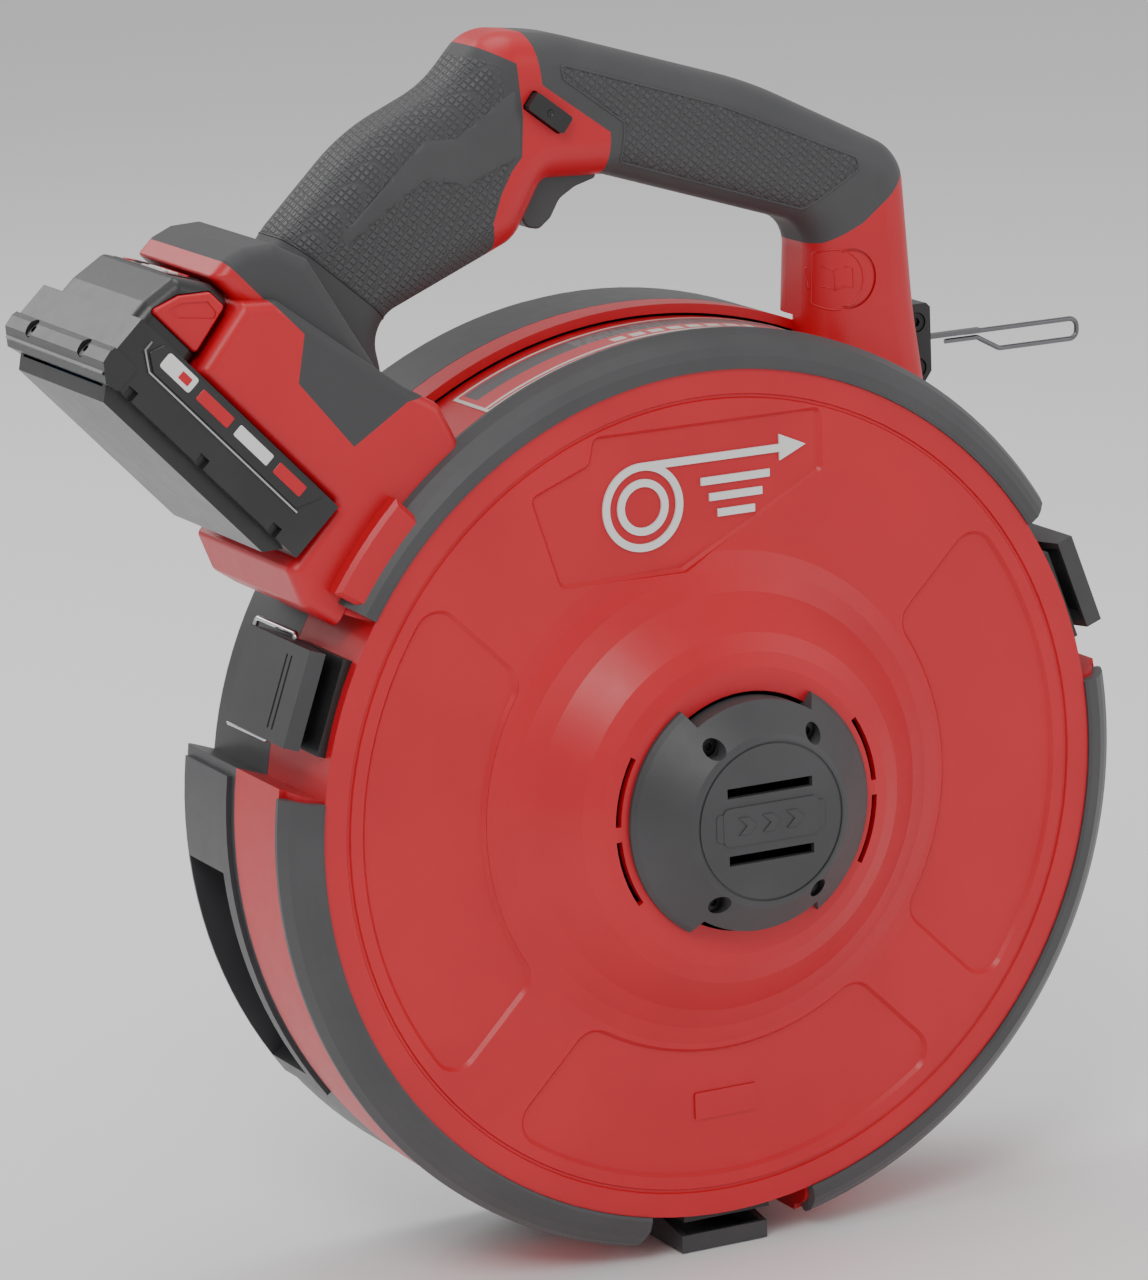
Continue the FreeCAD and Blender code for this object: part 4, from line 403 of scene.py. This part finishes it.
class Palette:
    """All finishes by name."""

    def __init__(self) -> None:
        """Build each finish once."""
        finishes = (
            MouldedPlastic("red_moulding", Tint.RED.value, 0.40, 0.00005, 1700.0, 0.04, 0.06),
            MouldedPlastic("drum_moulding", Tint.DRUM_GREY.value, 0.40, 0.00006, 1500.0, 0.12),
            MouldedPlastic("charcoal_moulding", Tint.CHARCOAL.value, 0.48, 0.00007, 1500.0, 0.12),
            MouldedPlastic("black_moulding", Tint.NEAR_BLACK.value, 0.36, 0.00005, 1700.0, 0.2),
            MouldedPlastic("pack_moulding", Tint.PACK_BLACK.value, 0.34, 0.00008, 1300.0, 0.2, 0.1),
            MouldedPlastic("gauge_gloss", Tint.NEAR_BLACK.value, 0.16, 0.00001, 900.0, 0.1, 0.5),
            MouldedPlastic("white_print", Tint.WHITE.value, 0.35, 0.00002, 1500.0, 0.03),
            MouldedPlastic("cell_sleeve", Tint.SLEEVE.value, 0.3, 0.00002, 900.0, 0.08),
            MouldedPlastic("board_lacquer", Tint.BOARD.value, 0.25, 0.00003, 900.0, 0.2),
            SoftRubber("bumper_rubber_finish", Tint.CHARCOAL.value, 0.5),
            SoftRubber("smooth_grip_rubber", Tint.CHARCOAL.value, 0.58),
            GripRubber("rear_grip_texture", Tint.CHARCOAL.value,
                       ((-0.1255, 0.193, 0.66, 0.75), (-0.0555, 0.246, -0.93, -0.05),
                         (-0.0555, 0.2505, -0.32, -0.94))),
            GripRubber("panel_texture", Tint.CHARCOAL.value, ()),
            BrightMetal("plated_wire", Tint.SILVER.value, 0.2),
            BrightMetal("machined_steel", Tint.STEEL.value, 0.32),
            BrightMetal("tape_steel_finish", Tint.SPRING.value, 0.36, (4.0, 60.0, 60.0)),
            BrightMetal("black_oxide", Tint.BLACK_OXIDE.value, 0.4),
            BrightMetal("copper_winding", Tint.COPPER.value, 0.3, (60.0, 4.0, 60.0)),
            BrightMetal("contact_metal", Tint.BRASS.value, 0.28),
            RimLabel(),
        )
        self.materials = {finish.name: finish.build() for finish in finishes}

    def __getitem__(self, name: str) -> bpy.types.Material:
        """Material of that name."""
        return self.materials[name]


# ---- Mesh helpers -------------------------------------------------------------------------
def dress(obj: bpy.types.Object, material: bpy.types.Material) -> None:
    """Give an object one material in every slot.

    Args:
        obj: The object.
        material: Its material.
    """
    if not obj.material_slots:
        obj.data.materials.append(material)
    for item in obj.material_slots:
        item.material = material


def shade_by_angle(mesh: bpy.types.Mesh, degrees: float) -> None:
    """Shade a mesh smooth except across sharp edges.

    Args:
        mesh: The mesh.
        degrees: Angle above which an edge stays sharp.
    """
    mesh.shade_smooth()
    mesh.set_sharp_from_angle(angle=math.radians(degrees))


def add_mesh(name: str, work: bmesh.types.BMesh, material: bpy.types.Material, body: str,
             sharp: float = 35.0) -> bpy.types.Object:
    """Turn a working mesh into a piece that rides on a body.

    Args:
        name: Piece name.
        work: The mesh, which is freed.
        material: Its finish.
        body: Body that it rides on.
        sharp: Angle above which edges stay sharp, in degrees.

    Returns:
        The object.
    """
    bmesh.ops.recalc_face_normals(work, faces=work.faces)
    mesh = bpy.data.meshes.new(name)
    work.to_mesh(mesh)
    work.free()
    shade_by_angle(mesh, sharp)
    obj = bpy.data.objects.new(name, mesh)
    bpy.context.scene.collection.objects.link(obj)
    mesh.materials.append(material)
    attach(obj, body)
    LOG.info("%s rides on %s", name, body)
    return obj


def rounded(points: Sequence[Pair], radius: float, steps: int = 4) -> list[Pair]:
    """Round the corners of a closed outline.

    Args:
        points: Corners in order.
        radius: Corner radius.
        steps: Segments per corner.

    Returns:
        The rounded outline.
    """
    corners = [Vector(point) for point in points]
    outline: list[Pair] = []
    for index, here in enumerate(corners):
        before = (corners[index - 1] - here)
        after = (corners[(index + 1) % len(corners)] - here)
        half = 0.5 * before.angle(after)
        reach = min(radius / math.tan(half), 0.45 * before.length, 0.45 * after.length)
        start = here + before.normalized() * reach
        end = here + after.normalized() * reach
        for step in range(steps + 1):
            t = step / steps
            spot = start * (1 - t) ** 2 + here * (2 * t * (1 - t)) + end * t ** 2
            outline.append((spot.x, spot.y))
    return outline


@dataclass
class Plane:
    """A plane to draw outlines on: an origin, two directions and the way out, in metres."""

    origin: Vector
    right: Vector
    up: Vector
    out: Vector

    def at(self, a: float, b: float, lift: float = 0.0) -> Vector:
        """Point at a, b on the plane, lifted off it, all in millimetres."""
        return self.origin + (self.right * a + self.up * b + self.out * lift) * MM


def plate(work: bmesh.types.BMesh, plane: Plane, outline: Sequence[Pair], low: float, high: float,
          bevel: float = 0.15) -> None:
    """Add a thin plate with a bevelled rim to a working mesh.

    Args:
        work: Mesh to add to.
        plane: Plane that the outline lies on.
        outline: Corners in millimetres.
        low: Height of the plate's underside.
        high: Height of its face.
        bevel: Size of the rim's bevel.
    """
    centre = Vector((sum(a for a, b in outline), sum(b for a, b in outline))) / len(outline)
    rings = []
    for lift, shrink in ((low, 0.0), (high - bevel, 0.0), (high, bevel)):
        ring = []
        for a, b in outline:
            away = Vector((a, b)) - centre
            factor = 1 - shrink / max(away.length, 0.5)
            spot = centre + away * factor
            ring.append(work.verts.new(plane.at(spot.x, spot.y, lift)))
        rings.append(ring)
    count = len(outline)
    for lower, upper in zip(rings, rings[1:]):
        for i in range(count):
            j = (i + 1) % count
            work.faces.new((lower[i], lower[j], upper[j], upper[i]))
    work.faces.new(rings[-1])
    work.faces.new(list(reversed(rings[0])))


def tube(work: bmesh.types.BMesh, points: Sequence[Vector], radius: float, sides: int = 8,
         closed: bool = False) -> None:
    """Add a round tube along points.

    Args:
        work: Mesh to add to.
        points: Centreline in metres.
        radius: Tube radius in metres.
        sides: Sides of its section.
        closed: Whether it joins its own start.
    """
    count = len(points)
    rings = []
    normal = None
    for index, here in enumerate(points):
        before = points[index - 1] if index or closed else here
        after = points[(index + 1) % count] if index < count - 1 or closed else here
        along = (after - before).normalized()
        if normal is None:
            normal = along.orthogonal().normalized()
        normal = (normal - along * normal.dot(along)).normalized()
        side = along.cross(normal)
        rings.append([work.verts.new(here + (normal * math.cos(t) + side * math.sin(t)) * radius)
                      for t in (2 * math.pi * k / sides for k in range(sides))])
    pairs = list(zip(rings, rings[1:])) + ([(rings[-1], rings[0])] if closed else [])
    for lower, upper in pairs:
        for i in range(sides):
            j = (i + 1) % sides
            work.faces.new((lower[i], lower[j], upper[j], upper[i]))
    if not closed:
        work.faces.new(list(reversed(rings[0])))
        work.faces.new(rings[-1])


class Side(Enum):
    """Which face of the handle a piece is on."""

    FRONT = -1.0
    REAR = 1.0


@dataclass
class Inlay:
    """A patch that follows the surface of a CAD node, drawn as an outline in X and Z."""

    name: str
    node: str
    outline: Sequence[Pair]
    side: Side
    lift: float = 0.45
    edge: float = 0.9
    grid: float = 2.2

    def build(self, material: bpy.types.Material, body: str, slot: str) -> Optional[bpy.types.Object]:
        """Drape the outline over the node and give it a rounded rim.

        Args:
            material: Its finish.
            body: Body that it rides on.
            slot: Not used.

        Returns:
            The piece.
        """
        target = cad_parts[self.node].data
        tree = BVHTree.FromPolygons([vertex.co for vertex in target.vertices],
                                    [tuple(face.vertices) for face in target.polygons])
        work = bmesh.new()
        corners = [work.verts.new((a * MM, 0.0, b * MM)) for a, b in self.outline]
        work.faces.new(corners)
        for axis, normal in ((0, Vector((1, 0, 0))), (2, Vector((0, 0, 1)))):
            low = min(vertex.co[axis] for vertex in work.verts)
            high = max(vertex.co[axis] for vertex in work.verts)
            count = int((high - low) / (self.grid * MM))
            for step in range(1, count + 1):
                spot = normal * (low + (high - low) * step / (count + 1))
                everything = work.verts[:] + work.edges[:] + work.faces[:]
                bmesh.ops.bisect_plane(work, geom=everything, plane_co=spot,
                                       plane_no=normal)
        rim = {vertex for vertex in work.verts if vertex.is_boundary}
        middle = -0.044
        away = self.side.value
        for vertex in work.verts:
            start = Vector((vertex.co.x, middle + away * 0.1, vertex.co.z))
            hit = tree.ray_cast(start, Vector((0, -away, 0)), 0.1)[0]
            vertex.co.y = hit.y if hit else middle
            lift = 0.0 if vertex in rim else self.lift
            vertex.co.y += away * lift * MM
        skirt = bmesh.ops.extrude_edge_only(work, edges=[edge for edge in work.edges if edge.is_boundary])
        for item in skirt["geom"]:
            if isinstance(item, bmesh.types.BMVert):
                item.co.y -= away * 1.2 * MM
        return add_mesh(self.name, work, material, body, 60.0)


def outline_ridge(name: str, node: str, outline: Sequence[Pair], side: Side, radius: float,
                  material: bpy.types.Material, body: str,
                  closed: bool = True) -> bpy.types.Object:
    """Lay a thin half-sunk bead along an outline on a CAD node's surface.

    Args:
        name: Piece name.
        node: CAD node that it lies on.
        outline: Corners in X and Z, millimetres.
        side: Face of the handle.
        radius: Bead radius in millimetres.
        material: Its finish.
        body: Body that it rides on.
        closed: Whether the line closes.

    Returns:
        The piece.
    """
    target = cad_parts[node].data
    tree = BVHTree.FromPolygons([vertex.co for vertex in target.vertices],
                                [tuple(face.vertices) for face in target.polygons])
    points = []
    count = len(outline) if closed else len(outline) - 1
    for index in range(count):
        start = Vector(outline[index])
        end = Vector(outline[(index + 1) % len(outline)])
        steps = max(1, int((end - start).length / 1.5))
        for step in range(steps):
            spot = start.lerp(end, step / steps)
            ray = tree.ray_cast(Vector((spot.x * MM, -0.044 + side.value * 0.1, spot.y * MM)),
                                Vector((0, -side.value, 0)), 0.1)[0]
            if ray:
                points.append(ray)
    work = bmesh.new()
    tube(work, points, radius * MM, 8, closed)
    return add_mesh(name, work, material, body, 60.0)


def section_bead(name: str, node: str, spot: Vector, normal: Vector, radius: float, material: bpy.types.Material,
                 body: str) -> bpy.types.Object:
    """Lay a thin bead round a CAD node where a plane cuts its skin.

    Args:
        name: Piece name.
        node: CAD node.
        spot: A point on the plane, in metres.
        normal: The plane's normal.
        radius: Bead radius in millimetres.
        material: Its finish.
        body: Body that it rides on.

    Returns:
        The piece.
    """
    work = bmesh.new()
    work.from_mesh(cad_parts[node].data)
    bmesh.ops.remove_doubles(work, verts=work.verts, dist=1e-6)
    cut = bmesh.ops.bisect_plane(work, geom=work.verts[:] + work.edges[:] + work.faces[:], plane_co=spot,
                                 plane_no=normal)
    edges = [item for item in cut["geom_cut"] if isinstance(item, bmesh.types.BMEdge)]
    links: dict = {}
    for edge in edges:
        first, second = edge.verts
        links.setdefault(first, []).append(second)
        links.setdefault(second, []).append(first)
    loops = []
    left = set(links)
    while left:
        here = min(left, key=lambda vertex: tuple(vertex.co))
        loop = [here]
        left.discard(here)
        while True:
            following = [vertex for vertex in links[loop[-1]] if vertex in left]
            if not following:
                break
            loop.append(following[0])
            left.discard(following[0])
        loops.append([vertex.co.copy() for vertex in loop])
    loops.sort(key=lambda loop: sum((a - b).length for a, b in zip(loop, loop[1:])))
    bead = bmesh.new()
    tube(bead, loops[-1], radius * MM, 6, True)
    work.free()
    return add_mesh(name, bead, material, body, 60.0)


# ---- Sub-assemblies -----------------------------------------------------------------------
@dataclass
class Housing:
    """Red powered housing with its cap, bumpers and marks."""

    palette: Palette
    finishes: dict[str, str] = field(default_factory=lambda: {
        "front_housing": "red_moulding", "handle_shell_rear": "red_moulding", "motor_cap": "charcoal_moulding",
        "cap_screws": "black_oxide", "bumper_top": "bumper_rubber_finish", "bumper_left": "bumper_rubber_finish",
        "bumper_right": "bumper_rubber_finish", "rating_label": "label_film_print", "emblem": "white_print",
        "inner_plate": "red_moulding", "handle_screws": "black_oxide"})
    mark_centre: Pair = (67.1, 165.4)
    mark_radius: float = 10.3
    mark_steps: int = 48
    cap_face: float = -127.0
    surface: Optional[BVHTree] = None

    def dress(self) -> None:
        """Give each CAD node its finish."""
        dress_nodes(self.finishes, self.palette)

    def build_leg_mark(self) -> bpy.types.Object:
        """Raised ring with a generic open book on the leg.

        Returns:
            The piece.
        """
        work = bmesh.new()
        centre_x, centre_z = self.mark_centre
        outline = []
        for step in range(self.mark_steps):
            turn = 2 * math.pi * step / self.mark_steps
            outline.append((centre_x + self.mark_radius * math.cos(turn),
                            centre_z + self.mark_radius * math.sin(turn)))
        self._line(work, outline, True)
        for flip in (-1, 1):
            page = [(0.0, -3.6), (flip * 3.0, -2.2), (flip * 6.4, -3.2), (flip * 6.4, 3.6),
                    (flip * 3.0, 4.6), (0.0, 3.2)]
            self._line(work, [(centre_x + a, centre_z + b) for a, b in page], True)
        return add_mesh("leg_mark", work, self.palette["red_moulding"], "base", 60.0)

    def _line(self, work: bmesh.types.BMesh, outline: Sequence[Pair], closed: bool) -> None:
        """Add a thin bead along an outline on the leg's front."""
        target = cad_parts["front_housing"].data
        if self.surface is None:
            self.surface = BVHTree.FromPolygons([vertex.co for vertex in target.vertices],
                                                [tuple(face.vertices) for face in target.polygons])
        points = []
        for a, b in outline:
            hit = self.surface.ray_cast(Vector((a * MM, -0.15, b * MM)), Vector((0, 1, 0)), 0.15)[0]
            if hit:
                points.append(hit)
        tube(work, points, 0.00034, 8, closed)

    def build_cap_plate(self) -> bpy.types.Object:
        """Raised blank plate between the slots of the cap, with three generic chevrons.

        Returns:
            The piece.
        """
        plane = Plane(Vector((0, self.cap_face * MM, 0)), Vector((1, 0, 0)), Vector((0, 0, 1)),
                      Vector((0, -1, 0)))
        work = bmesh.new()
        plate(work, plane, rounded(block(-20.5, -4.8, 20.5, 4.8), 1.6), -0.3, 0.35)
        for shift in (-9.0, 0.0, 9.0):
            chevron = [(shift - 3.4, -3.0), (shift + 0.2, -3.0), (shift + 3.4, 0.0), (shift + 0.2, 3.0),
                       (shift - 3.4, 3.0), (shift - 0.2, 0.0)]
            plate(work, plane, chevron, 0.3, 0.9)
        return add_mesh("cap_plate", work, self.palette["charcoal_moulding"], "base")


@dataclass
class Handle:
    """Rubber grips, their texture and their seams."""

    palette: Palette
    arrow: tuple[Pair, ...] = ((-51.5, 242.0), (-54.0, 240.5), (-73.5, 228.0), (-85.0, 228.3), (-116.3, 200.6),
                               (-115.4, 196.5), (-85.7, 215.6), (-70.1, 212.1), (-56.3, 217.5), (-51.0, 219.5),
                               (-50.2, 231.1))
    panel: tuple[Pair, ...] = ((-34.6, 248.7), (24.3, 229.5), (76.2, 206.5), (77.1, 202.6), (55.9, 190.7),
                               (-13.0, 214.0), (-11.6, 227.2), (-33.6, 243.7))

    def dress(self) -> None:
        """Give each CAD node its finish."""
        dress_nodes({"rear_grip": "rear_grip_texture", "front_grip": "smooth_grip_rubber"}, self.palette)

    def build(self) -> None:
        """Add the smooth arrow bands, the textured panels and the seams."""
        smooth = self.palette["smooth_grip_rubber"]
        texture = self.palette["panel_texture"]
        for side in Side:
            tag = side.name.lower()
            Inlay("grip_arrow_" + tag, "rear_grip", rounded(self.arrow, 1.5), side, 0.5).build(smooth, "base",
                                                                                              "grip_rubber")
            panel = rounded(self.panel, 2.0)
            Inlay("grip_panel_" + tag, "front_grip", panel, side, 0.25).build(texture, "base", "grip_rubber")
            outline_ridge("grip_panel_rim_" + tag, "front_grip", panel, side, 0.42, smooth, "base")
        section_bead("grip_seam", "rear_grip", Vector((-0.1255, -0.044, 0.193)), Vector((0.66, 0, 0.75)), 0.3,
                     self.palette["black_moulding"], "base")


def block(left: float, low: float, right: float, high: float) -> list[Pair]:
    """Corners of an upright rectangle.

    Args:
        left: Lowest first coordinate.
        low: Lowest second coordinate.
        right: Highest first coordinate.
        high: Highest second coordinate.

    Returns:
        Its four corners in order.
    """
    return [(left, low), (right, low), (right, high), (left, high)]


@dataclass
class Battery:
    """Slide-on battery with its prints, gauge and bumper details."""

    palette: Palette
    tilt: float = 46.8
    corner: tuple[float, float] = (-131.8, 116.3)
    front_y: float = -85.0
    middle_y: float = -44.0
    width: float = 82.0
    gauge_bars: int = 4

    def dress(self) -> None:
        """Give each CAD node its finish."""
        dress_nodes({"battery_tray": "pack_moulding", "battery_top": "pack_moulding", "battery_cells": "cell_sleeve",
                     "battery_screws": "black_oxide", "battery_contacts": "contact_metal", "gauge_panel": "gauge_gloss",
                     "gauge_button": "charcoal_moulding", "release_button_left": "red_moulding",
                     "release_button_right": "red_moulding", "control_board": "board_lacquer",
                     "terminal_block": "black_moulding"}, self.palette)

    def _plane(self, y: float, out: float) -> Plane:
        """Plane of the battery's side: a runs up the battery face and b off it."""
        tilt = math.radians(self.tilt)
        along = Vector((-math.cos(tilt), 0, math.sin(tilt)))
        off = Vector((math.sin(tilt), 0, math.cos(tilt)))
        return Plane(Vector((self.corner[0], y, self.corner[1])) * MM, along, off, Vector((0, out, 0)))

    def build(self) -> None:
        """Add the side prints, a steel bead as painted highlight along each step's edge, and the gauge lights."""
        for tag, y, out in (("front", self.front_y, -1.0), ("rear", self.front_y + self.width, 1.0)):
            plane = self._plane(y, out)
            work = bmesh.new()
            strip = [(7.0, -1.4), (12.0, -10.4), (81.0, -10.4), (86.5, -6.5), (84.0, -1.4)]
            plate(work, plane, rounded(strip, 1.2), -0.3, 0.7, 0.3)
            add_mesh("pack_strip_" + tag, work, self.palette["pack_moulding"], "battery")
            # Thin bright steel bead along the strip's step edge: a painted highlight, not a real trim.
            work = bmesh.new()
            corners = ((11.0, -11.2), (82.0, -11.2), (88.0, -7.0), (88.0, -3.5))
            rim = [plane.at(a, b, 0.45) for a, b in corners]
            tube(work, rim, 0.0004, 8)
            add_mesh("pack_painted_highlight_" + tag, work, self.palette["machined_steel"], "battery")
            work = bmesh.new()
            plate(work, plane, rounded(block(67.0, -7.6, 81.0, -1.9), 1.2), 0.5, 0.95)
            plate(work, plane, rounded(block(30.0, -7.2, 46.0, -3.0), 0.6), 0.5, 0.9)
            add_mesh("pack_blocks_" + tag, work, self.palette["white_print"], "battery")
            work = bmesh.new()
            plate(work, plane, rounded(block(49.0, -7.2, 64.0, -3.0), 0.6), 0.5, 0.9)
            plate(work, plane, rounded(block(14.0, -7.2, 27.0, -3.0), 0.6), 0.5, 0.9)
            plate(work, plane, rounded(block(69.0, -6.2, 73.5, -3.4), 0.4), 0.9, 1.1, 0.08)
            add_mesh("pack_bars_" + tag, work, self.palette["red_moulding"], "battery")
        self._build_gauge()

    def _build_gauge(self) -> None:
        """Light bars on the gauge panel."""
        tilt = math.radians(self.tilt)
        along = Vector((-math.cos(tilt), 0, math.sin(tilt)))
        off = Vector((math.sin(tilt), 0, math.cos(tilt)))
        start = Vector((self.corner[0], 0, self.corner[1])) * MM + (along * 80.3 + off * 25.5) * MM
        end = Vector((self.corner[0], 0, self.corner[1])) * MM + (along * 91.8 + off * 18.8) * MM
        down = (end - start).normalized()
        across = Vector((0, 1, 0))
        plane = Plane(start + across * self.middle_y * MM, across, down, down.cross(across).normalized())
        if plane.out.dot(off) < 0:
            plane.out = -plane.out
        white = bmesh.new()
        for index in range(self.gauge_bars):
            left = -13.0 + 5.2 * index
            bar = [(left, 4.2), (left + 3.4, 4.2), (left + 4.2, 6.4), (left + 0.8, 6.4)]
            plate(white, plane, rounded(bar, 0.4), -0.1, 0.25, 0.08)
        plate(white, plane, rounded(block(-13.0, 8.8, 4.0, 10.2), 0.4), -0.1, 0.25, 0.08)
        add_mesh("gauge_bars", white, self.palette["white_print"], "battery")
        red = bmesh.new()
        plate(red, plane, rounded([(-16.5, 1.8), (8.6, 1.8), (6.0, 3.2), (-17.5, 3.2)], 0.4),
              -0.1, 0.25, 0.08)
        plate(red, plane, rounded([(15.8, 4.4), (20.4, 4.4), (19.0, 10.4), (15.8, 10.4)], 0.8),
              -0.1, 0.25, 0.08)
        add_mesh("gauge_zone", red, self.palette["red_moulding"], "battery")


@dataclass
class Drum:
    """Dark tape drum with its reel, tape and outlet."""

    palette: Palette

    def dress(self) -> None:
        """Give each CAD node its finish."""
        dress_nodes({"cassette_shell": "drum_moulding", "drum_axle": "machined_steel", "tape_reel": "drum_moulding",
                     "tape_coil": "tape_steel_finish", "nozzle_block": "black_moulding", "nozzle_screws": "black_oxide",
                     "nozzle_bush": "plated_wire", "tape_end": "tape_steel_finish"}, self.palette)


@dataclass
class Latches:
    """Three draw latches."""

    palette: Palette
    names: tuple[str, ...] = ("left", "right", "bottom")

    def dress(self) -> None:
        """Give each CAD node its finish."""
        for name in self.names:
            dress_nodes({"latch_base_" + name: "black_moulding", "latch_lever_" + name: "charcoal_moulding",
                         "latch_bail_" + name: "plated_wire"}, self.palette)
        dress_nodes({"latch_pins": "plated_wire"}, self.palette)


@dataclass
class Drive:
    """Trigger, selector, motor and gears."""

    palette: Palette

    def dress(self) -> None:
        """Give each CAD node its finish."""
        steel = ("rotor_shaft", "motor_bearings", "ring_gear", "planet_gear_1", "planet_gear_2", "planet_gear_3",
                 "planet_pins", "planet_carrier", "output_bearing", "motor_stator", "rotor_core")
        dress_nodes({name: "machined_steel" for name in steel}, self.palette)
        dress_nodes({"trigger": "charcoal_moulding", "selector": "black_moulding", "trigger_switch": "black_moulding",
                     "trigger_spring": "plated_wire", "motor_windings": "copper_winding", "motor_fan": "black_moulding",
                     "gearbox_housing": "black_moulding"}, self.palette)


def dress_nodes(finishes: dict[str, str], palette: Palette) -> None:
    """Dress CAD nodes.

    Args:
        finishes: Finish by node name.
        palette: All finishes.
    """
    for node, finish in finishes.items():
        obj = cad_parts[node]
        dress(obj, palette[finish])
        LOG.info("%s is dressed in %s", node, finish)


# ---- Studio -------------------------------------------------------------------------------
@dataclass
class Studio:
    """Pale floor, soft lights and the camera."""

    eye: tuple[float, float, float] = (-0.9144, -1.8194, 0.5107)
    right: tuple[float, float, float] = (0.8902, -0.4540, -0.0384)
    up: tuple[float, float, float] = (0.1362, 0.1847, 0.9733)
    ahead: tuple[float, float, float] = (0.4347, 0.8717, -0.2262)
    lens: float = 168.75
    target: tuple[float, float, float] = (0.0, -0.04, 0.05)
    lights: tuple[tuple[str, tuple[float, float, float], float, float], ...] = (
        ("key_light", (-1.3, -1.6, 1.9), 26.0, 1.0),
        ("fill_light", (1.7, -1.5, 0.9), 8.0, 1.4),
        ("top_light", (0.1, 0.2, 2.1), 16.0, 1.4),
        ("rim_light", (-0.8, 1.7, 1.2), 12.0, 1.2),
    )

    def build(self) -> None:
        """Build floor, world, lights and camera."""
        low = min(corner[2] for corner in CAD_BOX)
        work = bmesh.new()
        bmesh.ops.create_grid(work, x_segments=2, y_segments=2, size=6.0)
        mesh = bpy.data.meshes.new("floor")
        work.to_mesh(mesh)
        work.free()
        floor = bpy.data.objects.new("floor", mesh)
        floor.location.z = low - 0.0005
        bpy.context.scene.collection.objects.link(floor)
        graph = Graph("floor_paper")
        floor.data.materials.append(graph.finish(Base_Color=(0.92, 0.92, 0.92), Roughness=0.9))
        world = bpy.data.worlds.new("studio")
        world.use_nodes = True
        background = world.node_tree.nodes["Background"]
        background.inputs["Color"].default_value = (1.0, 1.0, 1.0, 1.0)
        background.inputs["Strength"].default_value = 0.55
        bpy.context.scene.world = world
        for name, place, power, size in self.lights:
            lamp = bpy.data.lights.new(name, "AREA")
            lamp.energy = power
            lamp.shape = "SQUARE"
            lamp.size = size
            obj = bpy.data.objects.new(name, lamp)
            obj.location = place
            aim = Vector(self.target) - Vector(place)
            obj.rotation_euler = aim.to_track_quat("-Z", "Y").to_euler()
            bpy.context.scene.collection.objects.link(obj)
        self._build_camera()

    def _build_camera(self) -> None:
        """Build the camera and make it the scene's."""
        lens = bpy.data.cameras.new("camera")
        lens.lens = self.lens
        lens.sensor_width = 36.0
        lens.clip_end = 50.0
        camera = bpy.data.objects.new("camera", lens)
        turn = Matrix((self.right, self.up, tuple(-value for value in self.ahead))).transposed()
        camera.matrix_world = Matrix.Translation(Vector(self.eye)) @ turn.to_4x4()
        bpy.context.scene.collection.objects.link(camera)
        bpy.context.scene.camera = camera


def main() -> None:
    """Build every sub-assembly in order."""
    logging.basicConfig(level=logging.INFO, format="%(name)s: %(message)s")
    palette = Palette()
    housing = Housing(palette)
    handle = Handle(palette)
    battery = Battery(palette)
    for part in (housing, handle, battery, Drum(palette), Latches(palette), Drive(palette)):
        part.dress()
    housing.build_leg_mark()
    housing.build_cap_plate()
    handle.build()
    battery.build()
    Studio().build()


if __name__ == "__main__":
    main()
